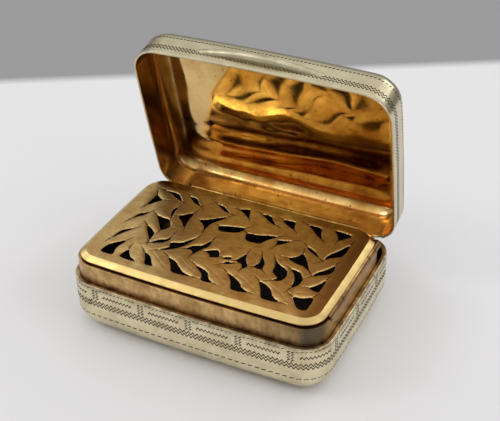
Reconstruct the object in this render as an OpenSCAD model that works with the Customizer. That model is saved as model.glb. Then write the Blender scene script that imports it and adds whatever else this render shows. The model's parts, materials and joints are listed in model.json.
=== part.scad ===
// Silver vinaigrette: a small hinged box with a gilt inside, a pierced grille and a sponge under it.
// Frame: X along the front, Y from the front to the lid hinge, Z up.
// The origin is the centre of the flat underside. All lengths are in millimetres.

/* [Box] */
// Length of the box along its front
box_w = 34; // [30:0.5:40]
// Depth of the box from its front to the hinge side
box_d = 24.1; // [22:0.1:30]
// Height of the body from the table to the parting line
body_h = 7.2; // [6.6:0.1:9]
// Height of the closed lid above the parting line
lid_h = 5.5; // [5:0.1:7]
// Plan radius of the four corners
corner_r = 3.7; // [3.4:0.1:4.6]
// Plan radius of the slightly bowed front and ends
bow_r = 360; // [200:10:800]
// Radius round the lower edge of the body
base_round = 3.2; // [2:0.1:3.6]
// Radius round the upper edge of the lid
lid_round = 2.4; // [1.4:0.1:3.2]
// Thickness of the body sheet
body_sheet = 0.6; // [0.45:0.05:0.75]
// Thickness of the lid sheet
lid_sheet = 0.4; // [0.3:0.05:0.5]
// Gap between the rims when the lid is shut
lid_gap = 0.1; // [0.05:0.01:0.2]
// Angle from shut at which the lid stands
lid_open = 76.5; // [0:0.5:105]

/* [Bezel] */
// Height of the bezel above the parting line
bezel_h = 2.4; // [1.6:0.1:2.8]
// Depth of the bezel below the parting line
bezel_foot = 2.4; // [1.6:0.1:3]
// Thickness of the bezel strip
bezel_sheet = 0.4; // [0.3:0.05:0.5]
// Room kept behind the bezel for the lid hinge
hinge_room = 2.75; // [2.4:0.05:3.5]

/* [Lid hinge] */
// Outer diameter of the knuckles
lid_knuckle_d = 1.3; // [1.2:0.05:1.5]
// Distance of the hinge axis inside the rear face
lid_axis_in = 0.38; // [0.3:0.02:0.44]
// Distance of the hinge axis below the parting line
lid_axis_drop = 0.3; // [0.1:0.05:0.4]
// Distance from each end of the straight rear side to the first knuckle
lid_hinge_end = 0.7; // [0.3:0.1:2]
// Number of knuckles, odd, the outer ones on the body
lid_knuckles = 5; // [5]
// Diameter of the hinge pin
lid_pin_d = 0.6; // [0.4:0.05:0.7]
// Length of the silver plug at each end of the pin
plug_l = 0.9; // [0.5:0.1:1.5]
// Depth of the bearer strip inside the lid
lid_bearer_d = 1.3; // [0.9:0.1:1.6]
// Thickness of the bearer strips
bearer_t = 0.6; // [0.4:0.05:0.8]

/* [Grille] */
// Gap between the bezel top and the grille
seam = 0.3; // [0.15:0.05:0.45]
// Thickness of the grille plate
plate_t = 0.55; // [0.4:0.05:0.7]
// Distance of the grille edge inside the bezel face
rim_set_in = 0.35; // [0.2:0.05:0.45]
// Width of the bevel round the grille
bevel_w = 0.7; // [0.4:0.05:1]
// Upright land below the bevel
bevel_land = 0.08; // [0.04:0.02:0.2]
// Thickness of the skirt under the grille
skirt_t = 0.35; // [0.25:0.05:0.5]
// Depth of the skirt below the plate
skirt_h = 1.5; // [0.9:0.1:2]

/* [Grille hinge] */
// Outer diameter of the knuckles
grille_knuckle_d = 1.1; // [0.9:0.05:1.2]
// Length of the row of knuckles
grille_hinge_l = 16; // [12:0.5:16.5]
// Length of the middle knuckle, which turns with the grille
grille_knuckle_l = 8.4; // [5:0.2:10]
// Diameter of the hinge pin
grille_pin_d = 0.5; // [0.35:0.05:0.6]

/* [Piercing] */
// Flat margin between the bevel and the piercing at both ends
margin_end = 1.65; // [1.2:0.05:2.2]
// Flat margin at the front
margin_front = 1.5; // [1.2:0.05:2]
// Flat margin at the rear
margin_rear = 1.25; // [1:0.05:2]
// Length of the drawing that the cuts are laid out on
draw_w = 27.4; // [24:0.1:30]
// Depth of that drawing
draw_d = 15.9; // [14:0.1:18]

/* [Thumbpiece] */
// Length of the thumbpiece
thumb_l = 15.8; // [10:0.2:20]
// How far it stands out at its middle
thumb_out = 0.9; // [0.5:0.05:1.2]
// Height of the thumbpiece
thumb_h = 1; // [0.7:0.05:1.4]
// Height of its lower edge above the lid rim
thumb_up = 1.2; // [0.6:0.1:1.6]

/* [Sponge] */
// Height of the sponge
sponge_h = 3.2; // [2:0.1:3.4]
// Slack round and under the sponge
sponge_slack = 0.12; // [0.05:0.01:0.3]

/* [Fits] */
// Radial clearance of a pin in its knuckle
pin_clear = 0.03; // [0.02:0.01:0.05]
// Radial clearance round a knuckle that turns past a wall
knuckle_clear = 0.07; // [0.05:0.01:0.1]
// End gap between two knuckles
knuckle_gap = 0.1; // [0.06:0.01:0.2]
// Clearance of the skirt inside the bezel
skirt_clear = 0.12; // [0.08:0.01:0.2]

/* [Hidden] */
$fn = 96;
corner_steps = 10;
bow_steps = 6;
round_steps = 10;
join = 0.3;

silver = "#c9c1a4";
gilt = "#b98a3c";
worn_gilt = "#b8905c";
sponge_tan = "#b59a62";

// Plan outline: bowed front and ends, round corners, straight rear side.
// Every outline of the box is this one moved in, with its rear side at a given place.
box_rear = box_d / 2;
front_centre = [0, bow_r - box_d / 2];
end_centre = [box_w / 2 - bow_r, 0];
corner_reach = bow_r - corner_r;
centre_line = front_centre - end_centre;
half_gap = norm(centre_line) / 2;
front_corner = (front_centre + end_centre) / 2
    + [centre_line[1], -centre_line[0]] / (2 * half_gap) * sqrt(corner_reach ^ 2 - half_gap ^ 2);
function rear_corner(rear) =
    [end_centre[0] + sqrt(corner_reach ^ 2 - (rear - corner_r) ^ 2), rear - corner_r];
function bearing(from, to) = atan2(to[1] - from[1], to[0] - from[0]);
function ray(angle) = [cos(angle), sin(angle)];
function flip(point) = [-point[0], point[1]];
front_end = bearing(front_centre, front_corner);
end_start = bearing(end_centre, front_corner);
function end_stop(rear) = bearing(end_centre, rear_corner(rear));

// Bezel and grille outline
bezel_in = body_sheet;
bezel_face = box_rear - hinge_room;
bezel_rear = bezel_face + bezel_in;
bezel_top = body_h + bezel_h;
grille_in = bezel_in + rim_set_in;
plate_low = bezel_top + seam;
plate_top = plate_low + plate_t;
bevel_in = grille_in + bevel_w;
skirt_in = bezel_in + bezel_sheet + skirt_clear;

// Pierced window of the grille
window_x = box_w / 2 - bevel_in - margin_end;
window_front = -box_d / 2 + bevel_in + margin_front;
window_rear = bezel_rear - bevel_in - margin_rear;
draw_low = -8.9;

// Lid and its hinge
lid_rim = body_h + lid_gap;
lid_top = body_h + lid_h;
lid_axis_y = box_rear - lid_axis_in;
lid_axis_z = body_h - lid_axis_drop;
lid_knuckle_r = lid_knuckle_d / 2;
lid_hinge_l = 2 * (rear_corner(box_rear)[0] - lid_hinge_end);
lid_knuckle_pitch = lid_hinge_l / lid_knuckles;
relief_l = 2 * rear_corner(box_rear)[0] + corner_r;
shelf_w = 2 * rear_corner(bezel_rear)[0] + corner_r;

// Grille hinge
grille_knuckle_r = grille_knuckle_d / 2;
grille_axis_x = box_w / 2 - bezel_in - grille_knuckle_r;
grille_axis_z = plate_low - grille_knuckle_r;
side_knuckle_l = (grille_hinge_l - grille_knuckle_l) / 2;

// Rounds are held inside their walls
base_r = min(base_round, corner_r - 0.1, body_h - bezel_foot - 0.2);
lid_r = min(lid_round, corner_r - 0.1, lid_h - lid_gap - 0.5);

// Points of the plan moved in by inset, counter-clockwise, the same number at every inset
function arc_points(centre, radius, from, to, steps) = [for (step = [0 : steps - 1])
    centre + radius * ray(from + (to - from) * step / steps)];
function outline(inset, rear) =
    let (rear_c = rear_corner(rear), stop = end_stop(rear), small_r = corner_r - inset, large_r = bow_r - inset)
    concat(
        arc_points(front_centre, large_r, -180 - front_end, front_end, 2 * bow_steps),
        arc_points(front_corner, small_r, front_end, end_start, corner_steps),
        arc_points(end_centre, large_r, end_start, stop, bow_steps),
        arc_points(rear_c, small_r, stop, 90, corner_steps),
        [[rear_c[0], rear - inset]],
        arc_points(flip(rear_c), small_r, 90, 180 - stop, corner_steps),
        arc_points(flip(end_centre), large_r, 180 - stop, 180 - end_start, bow_steps),
        arc_points(flip(front_corner), small_r, 180 - end_start, 180 - front_end, corner_steps));

module plan(inset, rear) polygon(outline(inset, rear));

// Upright band between two insets of the plan
module band(low, high, outer, inner, rear) {
    translate([0, 0, low]) linear_extrude(high - low) difference() {
        plan(outer, rear);
        plan(inner, rear);
    }
}

// Skin through a list of [inset, height] stations round the plan; a closed one joins last to first
module skin(stations, rear, closed) {
    count = len(outline(0, rear));
    turns = len(stations);
    points = [for (station = stations, point = outline(station[0], rear)) [point[0], point[1], station[1]]];
    sides = [for (turn = [0 : turns - (closed ? 1 : 2)], index = [0 : count - 1])
        let (here = turn * count, next = (turn + 1) % turns * count, after = (index + 1) % count)
            [here + index, next + index, next + after, here + after]];
    caps = closed ? [] : [[for (index = [0 : count - 1]) index],
        [for (index = [count - 1 : -1 : 0]) (turns - 1) * count + index]];
    polyhedron(points, concat(sides, caps), convexity = 6);
}

// Open shell of even thickness with a rounded lower edge
module shell(height, round, sheet) {
    skin(concat(quarter(round, round), [[0, height], [sheet, height]],
        reverse(quarter(round, round - sheet))), box_rear, false);
}

function quarter(centre, radius) = [for (step = [0 : round_steps])
    let (way = ray(90 * step / round_steps)) [centre - radius * way[1], centre - radius * way[0]]];
function reverse(points) = [for (index = [len(points) - 1 : -1 : 0]) points[index]];

// Cylinder along X or along Y, centred on the given place
module rod_x(x, length, radius) {
    translate([x - length / 2, lid_axis_y, lid_axis_z]) rotate([0, 90, 0]) cylinder(length, r = radius);
}

module rod_y(y, length, radius) {
    translate([grille_axis_x, y + length / 2, grille_axis_z]) rotate([90, 0, 0]) cylinder(length, r = radius);
}

// Lid hinge: knuckles count from the left, even ones belong to the body
function lid_knuckle_x(index) = (index - (lid_knuckles - 1) / 2) * lid_knuckle_pitch;

module lid_hinge_knuckle(index) {
    length = lid_knuckle_pitch - knuckle_gap;
    difference() {
        rod_x(lid_knuckle_x(index), length, lid_knuckle_r);
        rod_x(lid_knuckle_x(index), 2 * length, lid_pin_d / 2 + pin_clear);
    }
}

// Groove for the knuckles: snug where they are soldered in, free where they turn and past their ends
module lid_hinge_groove(snug) {
    for (index = [0 : lid_knuckles - 1]) {
        free = index % 2 == snug ? 0 : 1;
        rod_x(lid_knuckle_x(index), lid_knuckle_pitch + free * knuckle_gap, lid_knuckle_r + free * knuckle_clear);
    }
    end_from = (lid_hinge_l - knuckle_gap) / 2;
    end_to = relief_l / 2;
    for (side = [-1, 1])
        rod_x(side * (end_from + end_to) / 2, end_to - end_from, lid_knuckle_r + knuckle_clear);
}

// Places a piece modelled on the shut lid where the open lid stands
module lid_pose() {
    translate([0, lid_axis_y, lid_axis_z]) rotate([-lid_open, 0, 0])
        translate([0, -lid_axis_y, -lid_axis_z]) children();
}

module body_tray() color(silver) difference() {
    shell(body_h, base_r, body_sheet);
    lid_hinge_groove(0);
}

module bezel_band() color(worn_gilt) difference() {
    band(body_h - bezel_foot, bezel_top, bezel_in, bezel_in + bezel_sheet, bezel_rear);
    grille_hinge_notch();
}

// Seat in the bezel's right wall: snug under the bezel's own knuckles, free under the grille's
module grille_hinge_notch() {
    length = grille_hinge_l + knuckle_gap;
    rod_y(0, length, grille_knuckle_r);
    rod_y(0, grille_knuckle_l, grille_knuckle_r + knuckle_clear);
    translate([grille_axis_x - grille_knuckle_r, -length / 2, grille_axis_z])
        cube([2 * grille_knuckle_d, length, grille_knuckle_d]);
}

module hinge_shelf() color(gilt) difference() {
    translate([0, 0, body_h - bearer_t]) linear_extrude(bearer_t) intersection() {
        difference() {
            plan(body_sheet, box_rear);
            plan(bezel_in, bezel_rear);
        }
        translate([-shelf_w / 2, bezel_face - corner_r]) square([shelf_w, hinge_room + corner_r]);
    }
    lid_hinge_groove(0);
}

module body_knuckle_left() color(silver) lid_hinge_knuckle(0);
module body_knuckle_middle() color(silver) lid_hinge_knuckle(2);
module body_knuckle_right() color(silver) lid_hinge_knuckle(4);
module lid_knuckle_left() color(silver) lid_hinge_knuckle(1);
module lid_knuckle_right() color(silver) lid_hinge_knuckle(3);

pin_l = lid_hinge_l - knuckle_gap - 2 * plug_l;
module lid_hinge_pin() color(silver) rod_x(0, pin_l - 2 * pin_clear, lid_pin_d / 2);
module pin_plug(side) rod_x(side * (pin_l + plug_l) / 2, plug_l, lid_pin_d / 2 + pin_clear);
module pin_plug_left() color(silver) pin_plug(-1);
module pin_plug_right() color(silver) pin_plug(1);

module lid_shell() color(silver) lid_pose() difference() {
    translate([0, 0, lid_top]) mirror([0, 0, 1]) shell(lid_top - lid_rim, lid_r, lid_sheet);
    lid_hinge_groove(1);
}

module lid_bearer() color(gilt) lid_pose() difference() {
    translate([0, 0, lid_rim]) linear_extrude(bearer_t) intersection() {
        plan(lid_sheet, box_rear);
        translate([-lid_hinge_l / 2, box_rear - lid_sheet - lid_bearer_d])
            square([lid_hinge_l, lid_bearer_d + join]);
    }
    lid_hinge_groove(1);
}

// Long slim bead whose arc runs into the lid's front wall at both ends
thumb_r = ((thumb_l / 2) ^ 2 + thumb_out ^ 2) / (2 * thumb_out);
thumb_sweep = 2 * asin(thumb_l / 2 / thumb_r) + 4;
module thumbpiece() color(silver) lid_pose() difference() {
    translate([0, thumb_r - box_d / 2 - thumb_out, lid_rim + thumb_up]) rotate(-90 - thumb_sweep / 2)
        rotate_extrude(angle = thumb_sweep, $fn = 1200) {
            translate([thumb_r - thumb_h / 2, thumb_h / 2]) circle(thumb_h / 2);
            translate([thumb_r - thumb_h / 2 - thumb_out, 0]) square([thumb_out, thumb_h]);
        }
    linear_extrude(lid_top) plan(0, box_rear);
}

// The piercing is what the saw takes out between the leaves: corner points of each cut in order,
// in millimetres on the drawing, measured from the middle of the box.
// Cuts between the leaves that run to the right along the front
front_cuts = [
    [[-13.3, -8.85], [-11.4, -8.85], [-11.9, -7.4], [-11.35, -5.4], [-12.5, -6.4], [-13.2, -7.4]],
    [[-10.8, -8.85], [-8, -8.9], [-9.6, -8.1], [-10.3, -6.8]],
    [[-8.4, -6.55], [-7.2, -7.1], [-6.5, -8.1], [-5.9, -8.85], [-7.1, -8.85], [-7.6, -7.7]],
    [[-5.3, -6.3], [-3.9, -6.8], [-2.9, -7.7], [-2.1, -8.3], [-0.6, -8.6], [-2.2, -8.85], [-3.5, -8.85],
        [-4.2, -7.6]],
    [[-1.8, -6.3], [-0.2, -6.75], [0.6, -7.2], [1.1, -8.1], [2.1, -8.7], [0.4, -8.85], [0.1, -7.7]],
    [[2.4, -6.05], [3.8, -6.65], [4.8, -7.3], [5.3, -8], [6.6, -8.5], [5.2, -8.85], [4.3, -8.85], [3.6, -7.3]],
    [[6.5, -5.95], [7.7, -6.3], [8.6, -7], [9.2, -8], [10.5, -8.6], [9.2, -8.85], [8.1, -8.85], [7.4, -7.3]],
    [[11.1, -6.95], [12.4, -6.9], [13.5, -6.1], [13.7, -7.5], [13.6, -8.8], [12.5, -8.8]]];
// Cuts between the leaves that run to the rear at the right end
right_cuts = [
    [[12.2, -4.85], [13, -4], [13.6, -2.5], [13.7, -3.9], [13.65, -5.2], [12.9, -5.1]],
    [[11.7, -2.8], [12, -1.8], [12.8, -0.9], [13.5, 0.5], [13.7, -0.8], [13.4, -1.6], [12.7, -2.1]],
    [[11.75, 0.7], [11.9, 1.9], [12.6, 3], [13.6, 5.1], [13.7, 3.4], [13.5, 2.2], [12.6, 1.6]],
    [[10.6, 7], [11.4, 6.1], [11.9, 5], [12.5, 5.8], [13.3, 6.7], [12, 7]]];
// Cuts between the leaves that run to the left along the rear
rear_cuts = [
    [[7.1, 6.75], [8.2, 6], [8.9, 5.2], [10.1, 4.4], [9.4, 5.6], [9.2, 6.8]],
    [[3.8, 6.5], [4.6, 5.7], [6.2, 4.9], [5.8, 5.8], [5.7, 6.7]],
    [[0.9, 6.5], [2, 5.8], [2.7, 5.2], [3.9, 4.85], [3, 5.6], [2.3, 6.6]],
    [[-2.1, 6.2], [-1.1, 5.7], [0, 4.8], [-0.4, 5.8], [-0.7, 6.8], [-1.3, 6.6]],
    [[-5.2, 6.2], [-4.4, 5.6], [-3.6, 5.1], [-2.5, 4.85], [-3.5, 5.6], [-4.2, 6.1]],
    [[-9.4, 6.35], [-8.6, 5.7], [-7.9, 5.1], [-6.9, 4.75], [-7.5, 5.5], [-8.1, 6.25]],
    [[-13, 6.25], [-11.5, 5.75], [-10.4, 5], [-9.5, 4.75], [-10.1, 5.5], [-10.9, 6.3]]];
// Cuts between the leaves that run to the front at the left end
left_cuts = [
    [[-13.4, 5.1], [-12.8, 4.5], [-11.9, 4.1], [-12.5, 3.4], [-13.3, 2], [-13.4, 3.4]],
    [[-11.9, 1.2], [-12.5, 0.6], [-13.2, 0.1], [-13.5, -1.6], [-13, -0.6], [-12.4, 0]],
    [[-11.9, -2.9], [-12.6, -3.3], [-13.3, -4], [-13.55, -6.2], [-13, -4.8], [-12.5, -3.9]]];
// Cuts round the middle spray, left half
spray_left_cuts = [
    [[-11.1, 0.85], [-10, 0.6], [-9, 0.65], [-8, -0.9], [-8.8, -2.1], [-9.8, -0.7]],
    [[-11, -1.6], [-9.8, -2.2], [-9.1, -2.9], [-9, -4.5], [-9.6, -3.6], [-10.4, -2.6]],
    [[-9.3, 3.6], [-9.25, 2.4], [-8.95, 0.9], [-9.5, 1.7], [-9.75, 2.8]],
    [[-6.8, 3.3], [-6.75, 1.6], [-6.3, -0.5], [-7.3, 0.7], [-8.5, 1.7], [-7.7, 2.3]],
    [[-2.4, 4.2], [-3.3, 2.7], [-3.9, 1.8], [-3.95, 0.1], [-4.5, 1.3], [-5.7, 2], [-4.5, 2.6], [-3.5, 3.5]],
    [[0.75, 2.95], [0.2, 1.5], [-2.2, 0.8], [-2.85, 1.9], [-1.4, 2.4]],
    [[-6.85, -2.2], [-6.75, -3.5], [-7.4, -4.3], [-8.8, -4.9], [-8.1, -3.8], [-7.1, -3.3]],
    [[-3.85, -1.3], [-4.3, -3], [-4.9, -4.3], [-6, -5.2], [-7.2, -5.8], [-6, -4.6], [-6.5, -3.7], [-5.1, -3.2],
        [-4.6, -2.4]],
    [[-1.95, -1], [-1.8, -2.6], [-2.3, -3.4], [-2.9, -4.9], [-3.2, -4], [-4.2, -4.1], [-3.6, -3.1], [-2.6, -2.7]]];
// Cuts round the middle spray, right half
spray_right_cuts = [
    [[-2, -3.6], [-0.5, -2.6], [0, -3.1], [0.35, -4], [-0.8, -4.45], [-1, -3.8]],
    [[0.6, -3.8], [1.6, -3.2], [1.9, -3.7], [1.2, -4]],
    [[1.2, -4.95], [1.5, -4.25], [2.7, -4.1], [2.1, -4.6]],
    [[3.05, -1.8], [3.4, -3], [4.25, -4.1], [3.75, -4.9], [3.4, -3.95], [2.3, -3.75], [2.65, -2.9]],
    [[4.8, -1.4], [5.7, -2.5], [6.05, -4.05], [4.7, -3.95], [5.2, -2.9]],
    [[6.5, -1.4], [7.4, -2.2], [8.7, -2.8], [9.2, -4], [8.8, -5.1], [7.8, -5.35], [8.4, -4.6], [7.2, -3.9],
        [7.1, -2.7]],
    [[8.8, -2.35], [10.2, -2.5], [11.1, -3.6], [11.1, -4.8], [10.4, -5.9], [10.25, -4.3], [9.7, -3.1]],
    [[9.05, 1.1], [9.9, 0.1], [11.25, -2.1], [10.1, -1.3], [9, -1.25], [7.7, -0.65], [8.7, 0]],
    [[8.9, 2.5], [10.1, 2.05], [11.3, 0.8], [10.2, 1.4], [9.3, 1.9]],
    [[7, 2.75], [6.1, 1.7], [5.5, 1.1], [5.1, 2.2], [6, 2.4]],
    [[5.1, 2.9], [3.9, 1.5], [3.6, 0.5], [1.6, 0.4], [0.95, 2], [2.6, 2.1], [3.7, 2.6]]];

// Cuts every corner of a closed line once, so that the saw line bends
function eased(points) = [for (index = [0 : len(points) - 1])
    let (here = points[index], next = points[(index + 1) % len(points)])
        each [0.8 * here + 0.2 * next, 0.2 * here + 0.8 * next]];

// The drawing is stretched to the window of the grille
module piercing() {
    for (row = [front_cuts, right_cuts, rear_cuts, left_cuts, spray_left_cuts, spray_right_cuts], points = row)
        polygon([for (point = eased(eased(points))) [point[0] * 2 * window_x / draw_w,
            window_front + (point[1] - draw_low) * (window_rear - window_front) / draw_d]]);
}

module grille_plate() color(gilt) {
    flat_in = bevel_in + join;
    skin([[grille_in, plate_low], [grille_in, plate_low + bevel_land], [bevel_in, plate_top],
        [flat_in, plate_top], [flat_in, plate_low]], bezel_rear, true);
    translate([0, 0, plate_low]) linear_extrude(plate_t) difference() {
        plan(flat_in, bezel_rear);
        piercing();
    }
}

module grille_skirt() color(gilt) difference() {
    band(plate_low - skirt_h, plate_low, skirt_in, skirt_in + skirt_t, bezel_rear);
    translate([grille_axis_x - grille_knuckle_d, -grille_hinge_l / 2 - 2 * knuckle_gap, 0])
        cube([corner_r, grille_hinge_l + 4 * knuckle_gap, plate_top]);
}

module grille_pin_bore(y, length) rod_y(y, length, grille_pin_d / 2 + pin_clear);

// The grille's own knuckle has a flat on top that is soldered to the plate
module grille_knuckle() color(gilt) {
    length = grille_knuckle_l - knuckle_gap;
    difference() {
        union() {
            rod_y(0, length, grille_knuckle_r);
            translate([grille_axis_x - grille_knuckle_r, -length / 2, grille_axis_z])
                cube([grille_knuckle_r, length, grille_knuckle_r]);
        }
        grille_pin_bore(0, 2 * length);
    }
}

// The bezel's knuckles are soldered into the seat cut in the strip
module bezel_knuckle(side) {
    length = side_knuckle_l - knuckle_gap;
    y = side * (grille_knuckle_l + side_knuckle_l) / 2;
    difference() {
        rod_y(y, length, grille_knuckle_r);
        grille_pin_bore(y, 2 * length);
    }
}

module bezel_knuckle_front() color(worn_gilt) bezel_knuckle(-1);
module bezel_knuckle_rear() color(worn_gilt) bezel_knuckle(1);
module grille_hinge_pin() color(silver) rod_y(0, grille_hinge_l - knuckle_gap, grille_pin_d / 2);

module sponge() color(sponge_tan)
    translate([0, 0, body_sheet + sponge_slack]) linear_extrude(sponge_h)
        plan(base_r + sponge_slack, box_rear);

body_tray();
bezel_band();
hinge_shelf();
body_knuckle_left();
body_knuckle_middle();
body_knuckle_right();
lid_hinge_pin();
pin_plug_left();
pin_plug_right();
bezel_knuckle_front();
bezel_knuckle_rear();
grille_hinge_pin();
sponge();
lid_shell();
lid_bearer();
lid_knuckle_left();
lid_knuckle_right();
thumbpiece();
grille_plate();
grille_skirt();
grille_knuckle();
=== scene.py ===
"""Looks of a silver vinaigrette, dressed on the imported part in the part's own frame.

X runs along the front, Y from the front to the lid hinge and Z up. Lengths are in millimetres
until a mesh is made, and angles are in degrees.
"""
import json
import logging
import math
from dataclasses import dataclass, field, replace
from enum import Enum

import bpy
import numpy as np
from mathutils import Matrix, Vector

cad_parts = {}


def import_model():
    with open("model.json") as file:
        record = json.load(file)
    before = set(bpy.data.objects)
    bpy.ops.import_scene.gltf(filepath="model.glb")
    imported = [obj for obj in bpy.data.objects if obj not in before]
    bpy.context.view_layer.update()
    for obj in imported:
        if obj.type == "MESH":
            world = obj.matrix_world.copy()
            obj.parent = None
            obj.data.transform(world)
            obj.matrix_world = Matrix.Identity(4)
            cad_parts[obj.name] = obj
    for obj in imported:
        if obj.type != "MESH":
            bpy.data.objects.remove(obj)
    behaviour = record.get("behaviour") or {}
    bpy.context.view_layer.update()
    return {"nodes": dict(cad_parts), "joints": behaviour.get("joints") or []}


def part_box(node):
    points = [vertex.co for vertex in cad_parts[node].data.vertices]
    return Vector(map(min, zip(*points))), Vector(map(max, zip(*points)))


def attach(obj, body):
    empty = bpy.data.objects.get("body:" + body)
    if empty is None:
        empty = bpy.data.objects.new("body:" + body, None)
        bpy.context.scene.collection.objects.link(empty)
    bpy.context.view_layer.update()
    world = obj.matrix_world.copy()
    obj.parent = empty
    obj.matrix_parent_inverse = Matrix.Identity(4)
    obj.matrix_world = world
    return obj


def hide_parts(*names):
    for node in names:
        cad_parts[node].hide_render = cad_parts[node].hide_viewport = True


log = logging.getLogger("vinaigrette")
MM = 0.001
FRAME_DIGITS = 4


class Ends(Enum):
    """How the first and last ring of a skin are finished."""

    CAPPED = "a flat face over each end"
    JOINED = "the last ring runs back into the first"


class Body(Enum):
    """The moving bodies of the part."""

    BASE = "base"
    LID = "lid"
    GRILLE = "grille"


def linear(colour: str) -> tuple[float, float, float, float]:
    """Turns an sRGB hex colour into linear light.

    Args:
        colour: Six hex digits after a hash.

    Returns:
        Red, green, blue and alpha.
    """
    parts = [int(colour[start:start + 2], 16) / 255 for start in (1, 3, 5)]
    light = [part / 12.92 if part <= 0.04045 else ((part + 0.055) / 1.055) ** 2.4 for part in parts]
    return (light[0], light[1], light[2], 1.0)


def add_node(tree: bpy.types.NodeTree, kind: str, inputs: dict | None = None,
             **settings: object) -> bpy.types.Node:
    """Adds one node, with its settings, its constant inputs and its links.

    Args:
        tree: Node tree that gets the node.
        kind: Type name of the node.
        inputs: Socket name or number, and the value or the output socket that goes into it.
        settings: Properties of the node.

    Returns:
        The new node.
    """
    node = tree.nodes.new(kind)
    for name, value in settings.items():
        setattr(node, name, value)
    for key, value in (inputs or {}).items():
        if isinstance(value, bpy.types.NodeSocket):
            tree.links.new(value, node.inputs[key])
        else:
            node.inputs[key].default_value = value
    return node


def per_metre(size_mm: float) -> float:
    """Gives the scale of a pattern on Object coordinates whose features have this size."""
    return 1000.0 / size_mm


def in_mm(metres: float) -> float:
    """Turns a length of the frame into millimetres, without the noise of single precision."""
    return round(metres / MM, FRAME_DIGITS)


def node_box(node: str) -> tuple[list, list]:
    """Gives the lowest and highest corners of a node of the frame, in millimetres."""
    low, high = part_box(node)
    return [in_mm(value) for value in low], [in_mm(value) for value in high]


@dataclass(frozen=True)
class Plan:
    """Plan outline of the box: bowed front and ends, round corners and a straight rear side."""

    width: float
    depth: float
    corner: float = 3.7
    bow: float = 360.0
    corner_steps: int = 28
    bow_steps: int = 20
    rear_steps: int = 120

    @classmethod
    def of_node(cls, node: str) -> "Plan":
        """Takes the width and the depth from a node of the frame."""
        low, high = node_box(node)
        return cls(width=high[0] - low[0], depth=high[1] - low[1])

    def points(self, inset: float, rear: float) -> np.ndarray:
        """Walks the outline counter-clockwise from the left end of the front.

        Each arc is centre + radius * (cos, sin), with the radius less the inset, so every inset
        gives the same number of points and lines between them stand square to the outline.

        Args:
            inset: Distance inside the outline.
            rear: Y of the straight rear side at inset zero.

        Returns:
            One row of X and Y for each point.
        """
        front = np.array([0.0, self.bow - self.depth / 2])
        end = np.array([self.width / 2 - self.bow, 0.0])
        reach = self.bow - self.corner
        line = front - end
        half = math.hypot(line[0], line[1]) / 2
        aside = np.array([line[1], -line[0]]) / (2 * half)
        low = (front + end) / 2 + aside * math.sqrt(reach ** 2 - half ** 2)
        high = np.array([end[0] + math.sqrt(reach ** 2 - (rear - self.corner) ** 2), rear - self.corner])
        flip = np.array([-1.0, 1.0])
        front_end = math.atan2(low[1] - front[1], low[0] - front[0])
        end_start = math.atan2(low[1] - end[1], low[0] - end[0])
        end_stop = math.atan2(high[1] - end[1], high[0] - end[0])
        quarter = math.pi / 2
        small = self.corner - inset
        large = self.bow - inset

        def arc(centre: np.ndarray, radius: float, start: float, stop: float, steps: int) -> np.ndarray:
            """Gives the points of one arc without its last one."""
            turn = start + (stop - start) * np.arange(steps) / steps
            return centre + radius * np.stack([np.cos(turn), np.sin(turn)], axis=1)

        straight = np.linspace(high[0], -high[0], self.rear_steps, endpoint=False)
        return np.concatenate([
            arc(front, large, -math.pi - front_end, front_end, 2 * self.bow_steps),
            arc(low, small, front_end, end_start, self.corner_steps),
            arc(end, large, end_start, end_stop, self.bow_steps),
            arc(high, small, end_stop, quarter, self.corner_steps),
            np.stack([straight, np.full(self.rear_steps, rear - inset)], axis=1),
            arc(high * flip, small, quarter, math.pi - end_stop, self.corner_steps),
            arc(end * flip, large, math.pi - end_stop, math.pi - end_start, self.bow_steps),
            arc(low * flip, small, math.pi - end_start, math.pi - front_end, self.corner_steps)])

    def along(self, rear: float) -> np.ndarray:
        """Measures the way round the outline, from zero at the middle of the front.

        Args:
            rear: Y of the straight rear side.

        Returns:
            One length for each point, and the length back at the first one.
        """
        loop = self.points(0.0, rear)
        steps = np.linalg.norm(np.roll(loop, -1, axis=0) - loop, axis=1)
        way = np.concatenate([[0.0], np.cumsum(steps)])
        return way - way[self.bow_steps]

    def rings(self, stations: np.ndarray, rear: float) -> np.ndarray:
        """Carries the outline through stations of inset and height.

        Args:
            stations: Rows of inset and Z.
            rear: Y of the straight rear side.

        Returns:
            Points by station and place along the outline.
        """
        flat = np.stack([self.points(inset, rear) for inset in stations[:, 0]])
        height = np.broadcast_to(stations[:, 1, None, None], flat.shape[:2] + (1,))
        return np.concatenate([flat, height], axis=2)


@dataclass(frozen=True)
class Seat:
    """Where a node sits in the box: its inset from the plan, its rear side and its heights."""

    inset: float
    rear: float
    low: float
    top: float

    @classmethod
    def of_node(cls, node: str, plan: Plan) -> "Seat":
        """Works the seat out from a node of the frame.

        The inset is the way from the plan's front back to the node's front. The rear side is the one
        that the node's outline would have at inset zero.

        Args:
            node: Name of the node.
            plan: Outline of the box.

        Returns:
            The seat.
        """
        low, high = node_box(node)
        inset = round(plan.depth / 2 + low[1], FRAME_DIGITS)
        rear = round(high[1] + inset, FRAME_DIGITS)
        return cls(inset=inset, rear=rear, low=low[2], top=high[2])


@dataclass(frozen=True)
class HingeNotch:
    """Stretch of the rear walls that is cut away for the lid hinge: half its length, and its depth."""

    reach: float = 15.05
    depth: float = 2.2

    def covers(self, points: np.ndarray, rear: float) -> np.ndarray:
        """Tells which points lie on that stretch.

        Args:
            points: Places, with X and Y first.
            rear: Y of the rear side.

        Returns:
            True for each point beside the hinge.
        """
        return (np.abs(points[..., 0]) < self.reach) & (points[..., 1] > rear - self.depth)


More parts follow.
